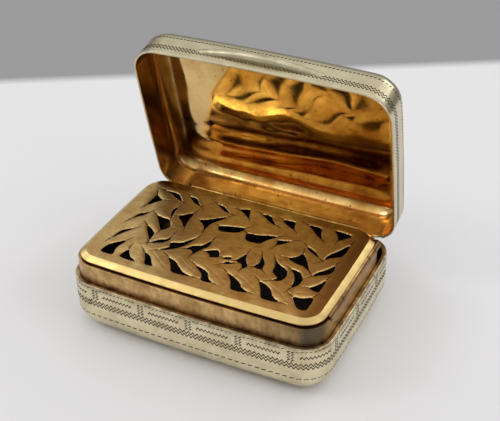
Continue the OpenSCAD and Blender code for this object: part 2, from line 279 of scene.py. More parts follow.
@dataclass
class Shape:
    """Points and faces of a piece, with a map position for each face corner and a finish for each face."""

    points: np.ndarray
    faces: list
    corners: np.ndarray
    slots: np.ndarray

    def piece(self, name: str, finishes: list, body: Body, stands_for: tuple = (), slot: str = "",
              sharp: float = 50.0) -> bpy.types.Object:
        """Makes the mesh object and lets it ride on its body.

        Args:
            name: Name of the piece.
            finishes: Materials, in the order of the face slots.
            body: Body that carries the piece.
            stands_for: Nodes of the part that the piece replaces.
            slot: Material slot of the record; not used.
            sharp: Angle from which an edge stays crisp.

        Returns:
            The new object.
        """
        mesh = bpy.data.meshes.new(name)
        mesh.from_pydata((self.points * MM).tolist(), [], self.faces)
        mesh.uv_layers.new(name="map").data.foreach_set("uv", self.corners.astype(np.float32).ravel())
        mesh.polygons.foreach_set("use_smooth", np.ones(len(self.faces), dtype=bool))
        mesh.polygons.foreach_set("material_index", self.slots.astype(np.int32))
        for finish in finishes:
            mesh.materials.append(finish)
        mesh.set_sharp_from_angle(angle=math.radians(sharp))
        mesh.update()
        thing = bpy.data.objects.new(name, mesh)
        bpy.context.scene.collection.objects.link(thing)
        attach(thing, body.value)
        if stands_for:
            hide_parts(*stands_for)
        log.info("%s: %d points, %d faces", name, len(self.points), len(self.faces))
        return thing


def loft(rings: np.ndarray, along: np.ndarray, heights: np.ndarray, slots: np.ndarray, ends: Ends) -> Shape:
    """Joins closed rings of equal count into one skin.

    Face corner (row, column) lies at rings[row, column], and its map position is
    (along[column], heights[row]). A flat end is mapped by its own X and Y.

    Args:
        rings: Points by row and column.
        along: Map position of each column, and of the first one again.
        heights: Map position of each row, with one more where the ends are joined.
        slots: Finish of each row of faces.
        ends: How the ends are finished.

    Returns:
        The skin, facing outwards where rings go up the outside.
    """
    rows, count = rings.shape[:2]
    index = np.arange(rows * count).reshape(rows, count)
    lower = index if ends is Ends.JOINED else index[:-1]
    upper = np.roll(index, -1, axis=0)[:len(lower)]
    quads = np.stack([lower, np.roll(lower, -1, 1), np.roll(upper, -1, 1), upper], axis=2)
    left, right = np.broadcast_arrays(along[None, :-1], along[None, 1:])
    shape = (len(lower), count)
    low = np.broadcast_to(heights[:len(lower), None], shape)
    high = np.broadcast_to(heights[1:len(lower) + 1, None], shape)
    left = np.broadcast_to(left, shape)
    right = np.broadcast_to(right, shape)
    corners = np.stack([np.stack([left, low], 2), np.stack([right, low], 2), np.stack([right, high], 2),
                        np.stack([left, high], 2)], axis=2).reshape(-1, 2)
    faces = quads.reshape(-1, 4).tolist()
    face_slots = np.repeat(slots[:len(lower)], count)
    if ends is Ends.CAPPED:
        faces += [index[0, ::-1].tolist(), index[-1].tolist()]
        corners = np.concatenate([corners, rings[0, ::-1, :2], rings[-1, :, :2]])
        face_slots = np.concatenate([face_slots, [slots[0], slots[len(lower) - 1]]])
    return Shape(rings.reshape(-1, 3), faces, corners, face_slots)


def inward(ring: np.ndarray, middle: np.ndarray, steps: int) -> np.ndarray:
    """Shrinks a ring towards its middle: ring + share * (middle - ring).

    Args:
        ring: Points of the ring.
        middle: Point that it shrinks to.
        steps: Number of equal steps.

    Returns:
        The rings between the first one and the middle.
    """
    share = np.linspace(0, 1, steps + 1)[1:-1, None, None]
    return ring + (middle - ring) * share


def rounded_edge(top: float, sheet: float, radius: float) -> np.ndarray:
    """Gives the stations over a sheet's edge, from its outer to its inner face, with both corners eased.

    Args:
        top: Height of the edge.
        sheet: Thickness of the sheet.
        radius: Radius of the eased corners.

    Returns:
        Rows of inset and Z.
    """
    turn = np.radians(np.linspace(0, 90, 4))
    out = np.stack([radius - radius * np.cos(turn), top - radius + radius * np.sin(turn)], axis=1)
    back = out[::-1].copy()
    back[:, 0] = sheet - back[:, 0]
    return np.concatenate([out, back])


def quarter_round(centre: float, radius: float, steps: int = 18) -> np.ndarray:
    """Gives a quarter circle from its flat end to its upright end.

    Args:
        centre: Inset of the centre, which is also its height.
        radius: Radius of the arc.
        steps: Number of steps.

    Returns:
        Rows of inset and Z.
    """
    turn = np.radians(np.linspace(0, 90, steps + 1))
    return np.stack([centre - radius * np.sin(turn), centre - radius * np.cos(turn)], axis=1)


@dataclass(frozen=True)
class LidPose:
    """Turn of the lid about its hinge, from shut to the way it stands in the part."""

    axis_y: float
    axis_z: float
    angle: float

    @classmethod
    def of_joint(cls, joint: dict) -> "LidPose":
        """Reads the hinge axis, and the way back to shut, which is the lower end of the range.

        Args:
            joint: The lid's joint in the frame.

        Returns:
            The turn.
        """
        _, axis_y, axis_z = joint["pos_m"]
        return cls(axis_y=in_mm(axis_y), axis_z=in_mm(axis_z), angle=-joint["range_deg"][0])

    def open(self, points: np.ndarray) -> np.ndarray:
        """Turns points of the shut lid about the hinge axis.

        Args:
            points: Rows of X, Y and Z on the shut lid.

        Returns:
            The same points where the open lid has them.
        """
        turn = math.radians(self.angle)
        y = points[..., 1] - self.axis_y
        z = points[..., 2] - self.axis_z
        return np.stack([points[..., 0], self.axis_y + y * math.cos(turn) + z * math.sin(turn),
                         self.axis_z - y * math.sin(turn) + z * math.cos(turn)], axis=-1)


@dataclass(frozen=True)
class Metal:
    """Metal finish with clouds of tone, fine wear and a slightly uneven surface.

    Silver and gilding both give the eye a mirror that is broken by hand polish: soft clouds of
    tarnish, hair-fine rubbing marks and shallow dents. The rubbing marks are drawn coarser than
    the real ones, which are too fine to show.
    """

    name: str
    light: str
    dark: str
    smooth: float
    rough: float
    cloud_mm: float
    rub_mm: float
    rub: float
    dent_mm: float
    dent: float
    stretch: tuple = (1.0, 1.0, 1.0)
    cloud_range: tuple = (0.38, 0.66)
    gloss_range: tuple = (0.3, 0.7)

    def tone(self, tree: bpy.types.NodeTree, place: bpy.types.NodeSocket,
             clouds: bpy.types.NodeSocket) -> bpy.types.NodeSocket:
        """Mixes the two tones by the clouds.

        Args:
            tree: Node tree of the material.
            place: Object coordinates; not used here.
            clouds: Strength of the clouds.

        Returns:
            The colour.
        """
        depth = add_node(tree, "ShaderNodeMapRange", {"Value": clouds, "From Min": self.cloud_range[0],
                                                      "From Max": self.cloud_range[1]})
        return add_node(tree, "ShaderNodeMix", {0: depth.outputs["Result"], 6: linear(self.light),
                                                7: linear(self.dark)}, data_type="RGBA").outputs[2]

    def polish(self, tree: bpy.types.NodeTree, place: bpy.types.NodeSocket,
               gloss: bpy.types.NodeSocket) -> bpy.types.NodeSocket:
        """Gives the roughness, which is the same kind all over unless a finish says otherwise."""
        return gloss

    def material(self) -> bpy.types.Material:
        """Makes the material.

        Returns:
            A metal whose tone and gloss follow the clouds, with rubbing marks and dents as bump.
        """
        made = bpy.data.materials.new(self.name)
        made.use_nodes = True
        tree = made.node_tree
        shader = tree.nodes["Principled BSDF"]
        place = add_node(tree, "ShaderNodeTexCoord").outputs["Object"]
        clouds = add_node(tree, "ShaderNodeTexNoise", {"Vector": place, "Scale": per_metre(self.cloud_mm),
                                                       "Detail": 5.0, "Roughness": 0.62})
        gloss = add_node(tree, "ShaderNodeMapRange", {"Value": clouds.outputs["Fac"],
                                                      "From Min": self.gloss_range[0],
                                                      "From Max": self.gloss_range[1],
                                                      "To Min": self.smooth, "To Max": self.rough})
        drawn = add_node(tree, "ShaderNodeMapping", {"Vector": place, "Scale": self.stretch})
        dents = add_node(tree, "ShaderNodeTexNoise", {"Vector": drawn.outputs[0], "Detail": 1.0,
                                                      "Scale": per_metre(self.dent_mm)})
        rubs = add_node(tree, "ShaderNodeTexNoise", {"Vector": place, "Scale": per_metre(self.rub_mm),
                                                     "Detail": 3.0})
        wave = add_node(tree, "ShaderNodeBump", {"Strength": 1.0, "Distance": self.dent * MM,
                                                 "Height": dents.outputs["Fac"]})
        bump = add_node(tree, "ShaderNodeBump", {"Strength": 1.0, "Distance": self.rub * MM,
                                                 "Height": rubs.outputs["Fac"],
                                                 "Normal": wave.outputs["Normal"]})
        shader.inputs["Metallic"].default_value = 1.0
        tree.links.new(self.tone(tree, place, clouds.outputs["Fac"]), shader.inputs["Base Color"])
        tree.links.new(self.polish(tree, place, gloss.outputs["Result"]), shader.inputs["Roughness"])
        tree.links.new(bump.outputs["Normal"], shader.inputs["Normal"])
        return made


@dataclass(frozen=True)
class TraySilver(Metal):
    """Silver of the tray: brown with old tarnish along the rim, where no cloth reaches under the lid."""

    stain: str = "#5C4A30"
    stain_mm: float = 1.3
    stain_low: float = 6.3
    stain_high: float = 7.3
    stain_range: tuple = (0.35, 0.65)

    def tone(self, tree: bpy.types.NodeTree, place: bpy.types.NodeSocket,
             clouds: bpy.types.NodeSocket) -> bpy.types.NodeSocket:
        """Adds the ragged stain along the rim.

        Args:
            tree: Node tree of the material.
            place: Object coordinates.
            clouds: Strength of the clouds.

        Returns:
            The colour.
        """
        ground = Metal.tone(self, tree, place, clouds)
        parts = add_node(tree, "ShaderNodeSeparateXYZ", {0: place})
        rise = add_node(tree, "ShaderNodeMapRange", {"Value": parts.outputs["Z"],
                                                     "From Min": self.stain_low * MM,
                                                     "From Max": self.stain_high * MM})
        blots = add_node(tree, "ShaderNodeTexNoise", {"Vector": place, "Scale": per_metre(self.stain_mm),
                                                      "Detail": 6.0, "Roughness": 0.7})
        uneven = add_node(tree, "ShaderNodeMapRange", {"Value": blots.outputs["Fac"],
                                                       "From Min": self.stain_range[0],
                                                       "From Max": self.stain_range[1]})
        share = add_node(tree, "ShaderNodeMath", {0: rise.outputs["Result"], 1: uneven.outputs["Result"]},
                         operation="MULTIPLY", use_clamp=True)
        return add_node(tree, "ShaderNodeMix", {0: share.outputs[0], 6: ground, 7: linear(self.stain)},
                        data_type="RGBA").outputs[2]


@dataclass(frozen=True)
class LidGilt(Metal):
    """Gilding inside the lid: burnished like a mirror, with small dark pits where it has worn through."""

    pit: str = "#3A2812"
    pit_mm: float = 0.95
    pit_range: tuple = (0.16, 0.07)
    patch_range: tuple = (0.42, 0.52)

    def tone(self, tree: bpy.types.NodeTree, place: bpy.types.NodeSocket,
             clouds: bpy.types.NodeSocket) -> bpy.types.NodeSocket:
        """Adds the pits, which stand in patches.

        Args:
            tree: Node tree of the material.
            place: Object coordinates.
            clouds: Strength of the clouds.

        Returns:
            The colour.
        """
        ground = Metal.tone(self, tree, place, clouds)
        spots = add_node(tree, "ShaderNodeTexVoronoi", {"Vector": place, "Scale": per_metre(self.pit_mm)})
        deep = add_node(tree, "ShaderNodeMapRange", {"Value": spots.outputs["Distance"],
                                                     "From Min": self.pit_range[0],
                                                     "From Max": self.pit_range[1]})
        patch = add_node(tree, "ShaderNodeMapRange", {"Value": clouds, "From Min": self.patch_range[0],
                                                      "From Max": self.patch_range[1]})
        share = add_node(tree, "ShaderNodeMath", {0: deep.outputs["Result"], 1: patch.outputs["Result"]},
                         operation="MULTIPLY")
        return add_node(tree, "ShaderNodeMix", {0: share.outputs[0], 6: ground, 7: linear(self.pit)},
                        data_type="RGBA").outputs[2]


@dataclass(frozen=True)
class PanelGilt(LidGilt):
    """Gilding of the lid's inner panel, with a painted reflection: paler at the left, and a dull brown
    painted shade at the right.
    """

    # pale and dull paint the mirror lighter at the left and darker at the right: painted reflection and
    # painted shade.
    pale: str = "#F2C88E"
    dull: str = "#7E5220"
    pale_start: float = -6.0
    pale_stop: float = -12.0
    pale_share: float = 0.5
    dull_start: float = -4.0
    dull_stop: float = 12.0
    dull_share: float = 0.4

    def tone(self, tree: bpy.types.NodeTree, place: bpy.types.NodeSocket,
             clouds: bpy.types.NodeSocket) -> bpy.types.NodeSocket:
        """Adds the painted reflection: the paler left part, and the dull right part as painted shade.

        Args:
            tree: Node tree of the material.
            place: Object coordinates.
            clouds: Strength of the clouds.

        Returns:
            The colour.
        """
        colour = LidGilt.tone(self, tree, place, clouds)
        parts = add_node(tree, "ShaderNodeSeparateXYZ", {0: place})
        for start, stop, most, shade in ((self.pale_start, self.pale_stop, self.pale_share, self.pale),
                                         (self.dull_start, self.dull_stop, self.dull_share, self.dull)):
            share = add_node(tree, "ShaderNodeMapRange", {"Value": parts.outputs["X"], "To Max": most,
                                                          "From Min": start * MM, "From Max": stop * MM})
            colour = add_node(tree, "ShaderNodeMix", {0: share.outputs["Result"], 6: colour,
                                                      7: linear(shade)}, data_type="RGBA").outputs[2]
        return colour


@dataclass(frozen=True)
class WallGilt(LidGilt):
    """Gilding of the lid's inner walls: duller than the panel, with a brown painted shade at the left end."""

    # The brown colour darkens the left end of the walls: painted shade.
    brown: str = "#4E3620"
    brown_start: float = -12.5
    brown_stop: float = -16.0
    brown_share: float = 0.85

    def tone(self, tree: bpy.types.NodeTree, place: bpy.types.NodeSocket,
             clouds: bpy.types.NodeSocket) -> bpy.types.NodeSocket:
        """Adds the brown painted shade at the left end.

        Args:
            tree: Node tree of the material.
            place: Object coordinates.
            clouds: Strength of the clouds.

        Returns:
            The colour.
        """
        ground = LidGilt.tone(self, tree, place, clouds)
        parts = add_node(tree, "ShaderNodeSeparateXYZ", {0: place})
        left = add_node(tree, "ShaderNodeMapRange", {"Value": parts.outputs["X"],
                                                     "From Min": self.brown_start * MM,
                                                     "From Max": self.brown_stop * MM,
                                                     "To Max": self.brown_share})
        return add_node(tree, "ShaderNodeMix", {0: left.outputs["Result"], 6: ground, 7: linear(self.brown)},
                        data_type="RGBA").outputs[2]


@dataclass(frozen=True)
class BezelGilt(Metal):
    """Gilding of the bezel: rubbed up and down by the lid, and brown with tarnish where it meets the rim."""

    foot: str = "#6E5238"
    foot_low: float = 7.2
    foot_high: float = 8.35
    streak_mm: float = 0.6
    streak_stretch: tuple = (1.0, 1.0, 0.6)
    streak_range: tuple = (0.3, 0.7)
    streak_low: float = -0.3
    streak_high: float = 0.4
    # The corner, dim and side colours are painted shade at the right end of the strip.
    corner: str = "#524A3E"
    corner_x: float = 15.9
    corner_y: float = -10.9
    corner_start: float = 2.6
    corner_stop: float = 1.4
    corner_share: float = 0.85
    dim: str = "#5A4C32"
    dim_start: float = 9.5
    dim_stop: float = 3.5
    dim_share: float = 0.55
    side: str = "#A07C3C"
    side_start: float = 14.8
    side_stop: float = 16.2
    side_share: float = 0.95

    def tone(self, tree: bpy.types.NodeTree, place: bpy.types.NodeSocket,
             clouds: bpy.types.NodeSocket) -> bpy.types.NodeSocket:
        """Adds upright streaks, a ragged brown foot, and painted shade: a darker yellow-brown on the hinge
        side and a dull grey-brown at the right front corner.

        The stretch of the strip that leads to that corner is darkened with painted shade on both sides of it.

        Args:
            tree: Node tree of the material.
            place: Object coordinates.
            clouds: Strength of the clouds.

        Returns:
            The colour.
        """
        ground = Metal.tone(self, tree, place, clouds)
        drawn = add_node(tree, "ShaderNodeMapping", {"Vector": place, "Scale": self.streak_stretch})
        streaks = add_node(tree, "ShaderNodeTexNoise", {"Vector": drawn.outputs[0], "Detail": 4.0,
                                                        "Scale": per_metre(self.streak_mm)})
        uneven = add_node(tree, "ShaderNodeMapRange", {"Value": streaks.outputs["Fac"],
                                                       "From Min": self.streak_range[0],
                                                       "From Max": self.streak_range[1],
                                                       "To Min": self.streak_low, "To Max": self.streak_high})
        parts = add_node(tree, "ShaderNodeSeparateXYZ", {0: place})
        sunk = add_node(tree, "ShaderNodeMapRange", {"Value": parts.outputs["Z"],
                                                     "From Min": self.foot_high * MM,
                                                     "From Max": self.foot_low * MM})
        ragged = add_node(tree, "ShaderNodeMath", {0: sunk.outputs["Result"], 1: uneven.outputs["Result"]},
                          operation="ADD")
        footed = add_node(tree, "ShaderNodeMix", {0: ragged.outputs[0], 6: ground, 7: linear(self.foot)},
                          data_type="RGBA")
        level = add_node(tree, "ShaderNodeCombineXYZ", {"X": parts.outputs["X"], "Y": parts.outputs["Y"]})
        reach = add_node(tree, "ShaderNodeVectorMath", {0: level.outputs[0],
                                                        1: (self.corner_x * MM, self.corner_y * MM, 0.0)},
                         operation="DISTANCE")
        near = add_node(tree, "ShaderNodeMapRange", {"Value": reach.outputs["Value"],
                                                     "From Min": self.corner_start * MM,
                                                     "From Max": self.corner_stop * MM,
                                                     "To Max": self.corner_share})
        beside = add_node(tree, "ShaderNodeMapRange", {"Value": reach.outputs["Value"],
                                                       "From Min": self.dim_start * MM,
                                                       "From Max": self.dim_stop * MM,
                                                       "To Max": self.dim_share})
        dimmed = add_node(tree, "ShaderNodeMix", {0: beside.outputs["Result"], 6: footed.outputs[2],
                                                  7: linear(self.dim)}, data_type="RGBA")
        right = add_node(tree, "ShaderNodeMapRange", {"Value": parts.outputs["X"],
                                                      "From Min": self.side_start * MM,
                                                      "From Max": self.side_stop * MM,
                                                      "To Max": self.side_share})
        sided = add_node(tree, "ShaderNodeMix", {0: right.outputs["Result"], 6: dimmed.outputs[2],
                                                 7: linear(self.side)}, data_type="RGBA")
        return add_node(tree, "ShaderNodeMix", {0: near.outputs["Result"], 6: sided.outputs[2],
                                                7: linear(self.corner)}, data_type="RGBA").outputs[2]


@dataclass(frozen=True)
class GrilleGilt(Metal):
    """Gilding of the grille: paler towards the left, lighter along saw edges and leaf ribs, partly rubbed
    wear and partly painted highlight, and black with painted shade in the cuts.
    """

    pale: str = "#B09868"
    pale_start: float = 2.0
    pale_stop: float = -15.0
    pale_share: float = 0.55
    brown: str = "#9A6A3A"
    brown_start: float = 12.5
    brown_stop: float = 14.5
    brown_share: float = 0.8
    # The rubbed colour lightens the saw edges and leaf ribs: partly rubbed wear, partly painted highlight.
    rubbed: str = "#DCC384"
    edge_start: float = 0.12
    edge_stop: float = 0.02
    edge_share: float = 0.55
    vein_range: tuple = (0.3, 1.0)
    vein_share: float = 0.5
    bevel: str = "#D0B678"
    # This colour fills the engraved lines as tarnish and is painted shade in the cuts: the cut walls darken
    # towards the underside, which is black all over.
    tarnish_and_shade: str = "#120D07"
    cut_shade_range: tuple = (0.12, 0.55)
    line_range: tuple = (0.1, 0.7)
    line_share: float = 0.85
    burnish: float = 0.4
    border_start: float = 6.6
    border_stop: float = 7.4

    def tone(self, tree: bpy.types.NodeTree, place: bpy.types.NodeSocket,
             clouds: bpy.types.NodeSocket) -> bpy.types.NodeSocket:
        """Adds the paler left part, the brown right margin, the rubbed bevel, the lighter edges and ribs that
        are partly painted highlight, the dark engraved lines and the painted shade in the cuts.

        Args:
            tree: Node tree of the material.
            place: Object coordinates.
            clouds: Strength of the clouds.

        Returns:
            The colour.
        """
        ground = Metal.tone(self, tree, place, clouds)
        parts = add_node(tree, "ShaderNodeSeparateXYZ", {0: place})
        left = add_node(tree, "ShaderNodeMapRange", {"Value": parts.outputs["X"],
                                                     "From Min": self.pale_start * MM,
                                                     "From Max": self.pale_stop * MM,
                                                     "To Max": self.pale_share})
        right = add_node(tree, "ShaderNodeMapRange", {"Value": parts.outputs["X"],
                                                      "From Min": self.brown_start * MM,
                                                      "From Max": self.brown_stop * MM,
                                                      "To Max": self.brown_share})
        gap = add_node(tree, "ShaderNodeAttribute", attribute_name="saw_gap")
        edge = add_node(tree, "ShaderNodeMapRange", {"Value": gap.outputs["Fac"],
                                                     "From Min": self.edge_start,
                                                     "From Max": self.edge_stop, "To Max": self.edge_share})
        rib = add_node(tree, "ShaderNodeAttribute", attribute_name="ribbed")
        vein = add_node(tree, "ShaderNodeMapRange", {"Value": rib.outputs["Fac"],
                                                     "From Min": self.vein_range[0],
                                                     "From Max": self.vein_range[1],
                                                     "To Max": self.vein_share})
        bevel = add_node(tree, "ShaderNodeAttribute", attribute_name="bevelled")
        # Painted shade: the cut walls darken towards the plate's black underside.
        inside = add_node(tree, "ShaderNodeAttribute", attribute_name="in_cut")
        cut_shade = add_node(tree, "ShaderNodeMapRange", {"Value": inside.outputs["Fac"],
                                                     "From Min": self.cut_shade_range[0],
                                                     "From Max": self.cut_shade_range[1]})
        cut = add_node(tree, "ShaderNodeAttribute", attribute_name="scored")
        line = add_node(tree, "ShaderNodeMapRange", {"Value": cut.outputs["Fac"],
                                                     "From Min": self.line_range[0],
                                                     "From Max": self.line_range[1],
                                                     "To Max": self.line_share})
        colour = ground
        for share, shade in ((left.outputs["Result"], self.pale), (right.outputs["Result"], self.brown),
                             (vein.outputs["Result"], self.rubbed), (edge.outputs["Result"], self.rubbed),
                             (bevel.outputs["Fac"], self.bevel),
                             (line.outputs["Result"], self.tarnish_and_shade), (cut_shade.outputs["Result"], self.tarnish_and_shade)):
            colour = add_node(tree, "ShaderNodeMix", {0: share, 6: colour, 7: linear(shade)},
                              data_type="RGBA").outputs[2]
        return colour

    def polish(self, tree: bpy.types.NodeTree, place: bpy.types.NodeSocket,
               gloss: bpy.types.NodeSocket) -> bpy.types.NodeSocket:
        """Burnishes the plain border beside the lid hinge, where the graver has not been.

        Args:
            tree: Node tree of the material.
            place: Object coordinates.
            gloss: Roughness elsewhere.

        Returns:
            The roughness.
        """
        parts = add_node(tree, "ShaderNodeSeparateXYZ", {0: place})
        share = add_node(tree, "ShaderNodeMapRange", {"Value": parts.outputs["Y"], "To Min": 1.0,
                                                      "From Min": self.border_start * MM,
                                                      "From Max": self.border_stop * MM,
                                                      "To Max": self.burnish})
        return add_node(tree, "ShaderNodeMath", {0: gloss, 1: share.outputs["Result"]},
                        operation="MULTIPLY").outputs[0]


# Drawn tube and wire of the hinges: bright all over, with a soft even mirror
SILVER = Metal("sterling silver, hand polished", light="#E2D8BC", dark="#D2C8AA", smooth=0.2, rough=0.28,
               cloud_mm=3.0, rub_mm=0.35, rub=0.004, dent_mm=5.0, dent=0.03)
# Outside of the lid: raised from sheet and handled most, so a shade greyer, with slow waves in its mirror
LID_SILVER = Metal("sterling silver, hand polished lid", light="#D0C6A8", dark="#C2B898", smooth=0.2,
                   rough=0.27, cloud_mm=3.0, rub_mm=0.35, rub=0.004, dent_mm=5.0, dent=0.03)
# Outside of the tray: a paler, softer mirror that turns blotchy brown towards the rim
TRAY_SILVER = TraySilver("sterling silver, stained at the rim", light="#E8DDBA", dark="#CFC29C", smooth=0.22,
                         rough=0.32, cloud_mm=3.0, rub_mm=0.35, rub=0.004, dent_mm=5.0, dent=0.03)
# Thumbpiece: rubbed matt by use, so it shows a broad sheen and no mirror
THUMB_SILVER = Metal("sterling silver, worn matt by the thumb", light="#D6CDB2", dark="#B5AB8E", smooth=0.4,
                     rough=0.55, cloud_mm=2.0, rub_mm=0.3, rub=0.004, dent_mm=3.0, dent=0.01)
# Top of the tray's rim: tarnish that no cloth reaches, brown and dull beside the bezel
RIM_SILVER = Metal("sterling silver, tarnished", light="#CDB084", dark="#604A34", smooth=0.35, rough=0.5,
                   cloud_mm=1.5, rub_mm=0.3, rub=0.006, dent_mm=3.0, dent=0.02)
# Engraved lines: dark tarnish left in the graver's cuts
CUT_SILVER = Metal("sterling silver, tarnished in the cuts", light="#5A4C34", dark="#362C1E", smooth=0.45,
                   rough=0.6, cloud_mm=0.8, rub_mm=0.2, rub=0.01, dent_mm=2.0, dent=0.01)
# Inner panel of the lid: burnished gilding, a deep yellow mirror pulled about by the uneven sheet, with a
# painted reflection paler at the left and painted shade at the right
LID_GILT = PanelGilt("fire-gilt silver, burnished", light="#EDCF86", dark="#B0853F", smooth=0.04, rough=0.12,
                     cloud_mm=6.0, rub_mm=0.4, rub=0.0015, dent_mm=6.0, dent=0.08, stretch=(0.5, 1.0, 1.0))
# Inner walls of the lid: gilding that a burnisher hardly reaches, so its mirror is blurred, with painted
# shade at the left end
WALL_GILT = WallGilt("fire-gilt silver, dulled in the corners", light="#FFD286", dark="#C89048", smooth=0.14,
                     rough=0.3, cloud_mm=3.0, rub_mm=0.4, rub=0.004, dent_mm=5.0, dent=0.03)
# Inside of the tray: gilding left matt and brown under the sponge; on the hinge shelf the same brown is
# painted shade that darkens its reflection in the lid
TRAY_GILT = Metal("fire-gilt silver, dulled", light="#B88A4C", dark="#80592C", smooth=0.3, rough=0.5,
                  cloud_mm=2.0, rub_mm=0.3, rub=0.01, dent_mm=3.0, dent=0.03)
# Bezel: gilding worn thin by the lid, a reddish sheen with upright rubbing
BEZEL_GILT = BezelGilt("fire-gilt silver, rubbed by the lid", light="#D8B278", dark="#A88250", smooth=0.26,
                       rough=0.42, cloud_mm=2.2, rub_mm=0.3, rub=0.004, dent_mm=3.0, dent=0.02)
# Knuckles of the grille hinge and the skirt: drawn tube and strip, brown in the joints
HINGE_GILT = Metal("fire-gilt silver, drawn tube", light="#A27C4C", dark="#5E4226", smooth=0.24, rough=0.42,
                   cloud_mm=2.2, rub_mm=0.3, rub=0.006, dent_mm=3.0, dent=0.03)
# Grille: gilding over saw and graver work, a broken yellow sheen between cuts darkened with painted shade
GRILLE_GILT = GrilleGilt("fire-gilt silver, sawn and engraved", light="#F4D08A", dark="#C69450", smooth=0.3,
                         rough=0.44, cloud_mm=1.4, rub_mm=0.28, rub=0.006, dent_mm=2.0, dent=0.06)


@dataclass
class Tray:
    """Silver tray of the body: flat underside, rounded lower edge, upright wall and gilt inside."""

    plan: Plan
    seat: Seat
    notch: HingeNotch = HingeNotch()
    round: float = 3.2
    sheet: float = 0.6
    edge: float = 0.12
    flat_in: float = 0.25
    wall_stations: int = 10
    inner_stations: int = 20
    ledge_rows: int = 4
    cut_floor: float = 6.25

    def stations(self) -> np.ndarray:
        """Runs from the underside up the outside, over the rim and down the inside."""
        outer = quarter_round(self.round, self.round)
        inner = quarter_round(self.round, self.round - self.sheet)[::-1]
        wall = np.linspace(self.round, self.seat.top - self.edge, self.wall_stations)[1:-1]
        flat = self.round + self.flat_in
        return np.concatenate([
            [[flat, 0.0]], outer, np.stack([np.zeros_like(wall), wall], axis=1),
            rounded_edge(self.seat.top, self.sheet, self.edge), inner, [[flat, self.sheet]]])

    def build(self, silver: bpy.types.Material, gilt: bpy.types.Material,
              ledge: bpy.types.Material) -> bpy.types.Object:
        """Lofts the tray, with the rear wall cut down for the hinge.

        Heights of the wall between the round and the rim are scaled to the floor of the cut where
        the hinge lies, so the rim steps down there.

        Args:
            silver: Finish of the outside.
            gilt: Finish of the inside.
            ledge: Finish of the rim's top, beside the bezel.

        Returns:
            The piece.
        """
        stations = self.stations()
        rings = self.plan.rings(stations, self.seat.rear)
        hinge = self.notch.covers(rings, self.seat.rear)
        wall = rings[..., 2] > self.round
        share = (self.cut_floor - self.round) / (self.seat.top - self.round)
        lowered = self.round + (rings[..., 2] - self.round) * share
        rings[..., 2] = np.where(hinge & wall, lowered, rings[..., 2])
        row = np.arange(len(stations) - 1)
        inside = len(stations) - self.inner_stations - 1
        slots = np.select([row >= inside, row >= inside - self.ledge_rows], [1, 2], 0)
        shape = loft(rings, self.plan.along(self.seat.rear), stations[:, 1], slots, Ends.CAPPED)
        return shape.piece("tray_wall", [silver, gilt, ledge], Body.BASE, ("body_tray",), "silver")


@dataclass
class Bezel:
    """Gilt strip inside the wall, standing above the rim and notched for the grille hinge."""

    plan: Plan
    seat: Seat
    sheet: float = 0.4
    edge: float = 0.08
    wall_stations: int = 10
    notch_side: float = 10.0
    notch_half: float = 8.05
    notch_outer: float = 9.35
    notch_inner: float = 8.82

    def build(self, gilt: bpy.types.Material) -> bpy.types.Object:
        """Lofts the strip, with its top lowered where the knuckles sit.

        Args:
            gilt: Finish of the strip.

        Returns:
            The piece.
        """
        low = self.seat.low
        top = self.seat.top
        edge = rounded_edge(top, self.sheet, self.edge)
        wall = np.linspace(low, top - self.edge, self.wall_stations)[:-1]
        face = np.zeros_like(wall)
        stations = np.concatenate([
            np.stack([face, wall], 1), edge, np.stack([face + self.sheet, wall[::-1]], 1)])
        stations[:, 0] += self.seat.inset
        rings = self.plan.rings(stations, self.seat.rear)
        notch = (np.abs(rings[..., 1]) < self.notch_half) & (rings[..., 0] > self.notch_side)
        depth = np.clip((stations[:, 0] - self.seat.inset) / self.sheet, 0, 1)
        floor = (self.notch_outer + (self.notch_inner - self.notch_outer) * depth)[:, None]
        lowered = low + (rings[..., 2] - low) * (floor - low) / (top - low)
        rings[..., 2] = np.where(notch, lowered, rings[..., 2])
        heights = np.concatenate([stations[:, 1], [low]])
        shape = loft(rings, self.plan.along(self.seat.rear), heights, np.zeros(len(stations)), Ends.JOINED)
        return shape.piece("bezel_strip", [gilt], Body.BASE, ("bezel_band",), "worn_gilt")


